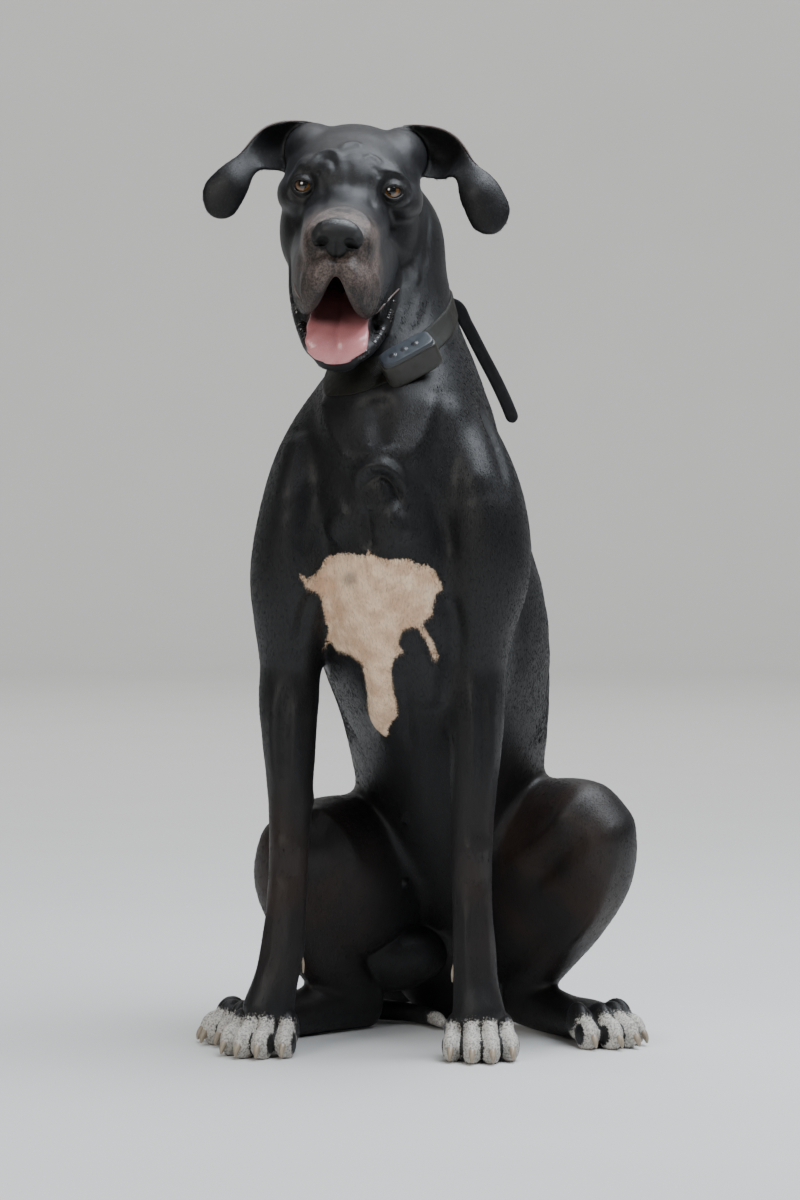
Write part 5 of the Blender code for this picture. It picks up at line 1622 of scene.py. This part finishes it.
# Each group: its number of roots, where they grow, and the length and width of a tuft. More of
# them grow on the ears, at the edge of the bib and on the toes.
COATS = (
    ("coat_head", 46000, lambda y, z, c: (z > NAPE) * (1 + 1.0 * (np.abs(head_coords(c)[:, 0]) > 0.085)),
     0.0034, 0.00017),
    ("coat_neck", 46000, lambda y, z, c: (z <= NAPE) * (z > SHOULDER) * 1.0, 0.0052, 0.00021),
    ("coat_chest", 47000, lambda y, z, c: (z <= SHOULDER) * (z > ELBOW) * (y < REAR)
     * (1.0 + 2.0 * (np.abs(marking(c)) < 0.006)), 0.0056, 0.00022),
    ("coat_back", 47000, lambda y, z, c: (z <= SHOULDER) * (z > HAUNCH) * (y >= REAR) * 1.0, 0.0060, 0.00024),
    ("coat_haunches", 47000, lambda y, z, c: (z <= HAUNCH) * (y >= REAR) * 1.0, 0.0058, 0.00024),
    ("coat_legs", 47000, lambda y, z, c: (z <= ELBOW) * (y < REAR) * (1.0 + 1.0 * (z < 0.07)),
     0.0046, 0.00021))
coats = []
for name, count, weight, length, width in COATS:
    root, n = sampled(rng, count, lambda c: weight(c[:, 1], c[:, 2], c))
    keep = clear_of_seats(root)
    root, n = root[keep], n[keep]
    small = 1 - 0.35 * smoothstep(0.02, -0.06, head_coords(root)[:, 1]) * (root[:, 2] > 0.9)
    small = small - 0.25 * smoothstep(0.09, 0.05, root[:, 2])
    long = length * small * rng.uniform(0.75, 1.25, len(root))
    wide = width * rng.uniform(0.8, 1.2, len(root))
    coats.append(tufts(name, root, n, long, wide, 0.045 + rng.normal(0, 0.02, len(root))))
print("tufts:", [(ob.name, triangles(ob)) for ob in coats])

# %% [markdown]
# ## Put the pieces in the imported frame
# Everything was made in the modelling frame, so each mesh is moved by the same step. Then the
# solids that a piece stands for are hidden, and each piece is hung on the root.

# %% Ride and replace
rides = [(skin, FLESH, "coat_black"), (nose, ["nose"], "nose"), (tongue, ["tongue"], "tongue"),
         (strap, ["collar_strap"], "strap"), (free_end, ["collar_end"], "strap_end"),
         (box_lower, ["tracker"], "tracker"), (box_upper, [], "tracker"), (box_buttons, [], "tracker"),
         (claws, [], "coat_white"), (buckle, [], "strap")]
rides += [(ob, [], "coat_black") for ob in coats]
rides += [(ob, [node], "eye") for ob, node in eyes] + [(ob, [], "coat_black") for ob in rims + lips]
for ob, nodes, slot in rides:
    set_coords(ob, coords(ob) - SHIFT)
    if nodes:
        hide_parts(*nodes)
    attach(ob, "root")
print(len(rides), "pieces ride,", sum(triangles(ob) for ob, _, _ in rides), "triangles")

# %% [markdown]
# ## Floor, world and light
# A pale floor and a pale world give a soft fill. One large panel overhead makes the broad
# bluish highlights of open sky on the coat. A second one in front opens up the face, and a
# third one behind lights the wall.


# %% Floor and backdrop
def round_backdrop(flat=9.0, bend=2.0, height=6.0, around=96, count=24):
    """A flat round floor that bends up into a wall all round, so no side of the studio is bare.

    The profile is (flat + bend * sin a, bend * (1 - cos a)) and is turned about the middle.
    """
    a = np.linspace(0, math.pi / 2, count)[1:]
    r = np.concatenate([[0.5 * flat, flat], flat + bend * np.sin(a), [flat + bend]])
    z = np.concatenate([[0.0, 0.0], bend * (1 - np.cos(a)), [height]])
    turn = circle(around)
    ring = np.stack([np.cos(turn)[None] * r[:, None], np.sin(turn)[None] * r[:, None],
                     np.tile(z[:, None], (1, around))], -1)
    faces = [q[::-1] for q in ring_quads(len(r), around)] + [list(range(around))]
    mesh = bpy.data.meshes.new("backdrop")
    mesh.from_pydata(ring.reshape(-1, 3).tolist(), [], faces)
    smooth_faces(mesh)
    return mesh


floor = placed_in_scene(bpy.data.objects.new("backdrop", round_backdrop()))
plain = Nodes("backdrop_plain")
pale = plain.mix(plain.noise(plain.place(), 3), (0.60, 0.595, 0.58), (0.64, 0.635, 0.62))
floor.data.materials.append(plain.finish(Base_Color=pale, Roughness=0.9))
floor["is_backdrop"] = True

# %% World and panels
world = bpy.data.worlds.new("studio")
world.use_nodes = True
world.node_tree.nodes["Background"].inputs["Color"].default_value = (0.82, 0.87, 0.95, 1)
world.node_tree.nodes["Background"].inputs["Strength"].default_value = 0.13
bpy.context.scene.world = world


def panel(name, at, towards, size, power, colour):
    lamp = bpy.data.lights.new(name, "AREA")
    lamp.shape = "RECTANGLE"
    lamp.size, lamp.size_y = size
    lamp.energy, lamp.color = power, colour
    ob = placed_in_scene(bpy.data.objects.new(name, lamp))
    ob.location = at
    away = unit(np.array(at, float) - towards)
    ob.rotation_euler = (math.acos(away[2]), 0, math.atan2(away[0], -away[1]))


panel("sky", (0.9, -0.5, 3.2), (0.1, 0.1, 0.6), (2.6, 2.6), 230, (0.87, 0.93, 1.0))
panel("front", (-2.4, -3.6, 2.2), (0, -0.1, 0.7), (1.6, 1.6), 72, (1.0, 0.96, 0.90))
panel("wall", (0.0, 4.0, 6.5), (0, 9.5, 0.5), (6.0, 3.0), 560, (1.0, 1.0, 1.0))
print("three panels of light")

# %% Size
low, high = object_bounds()
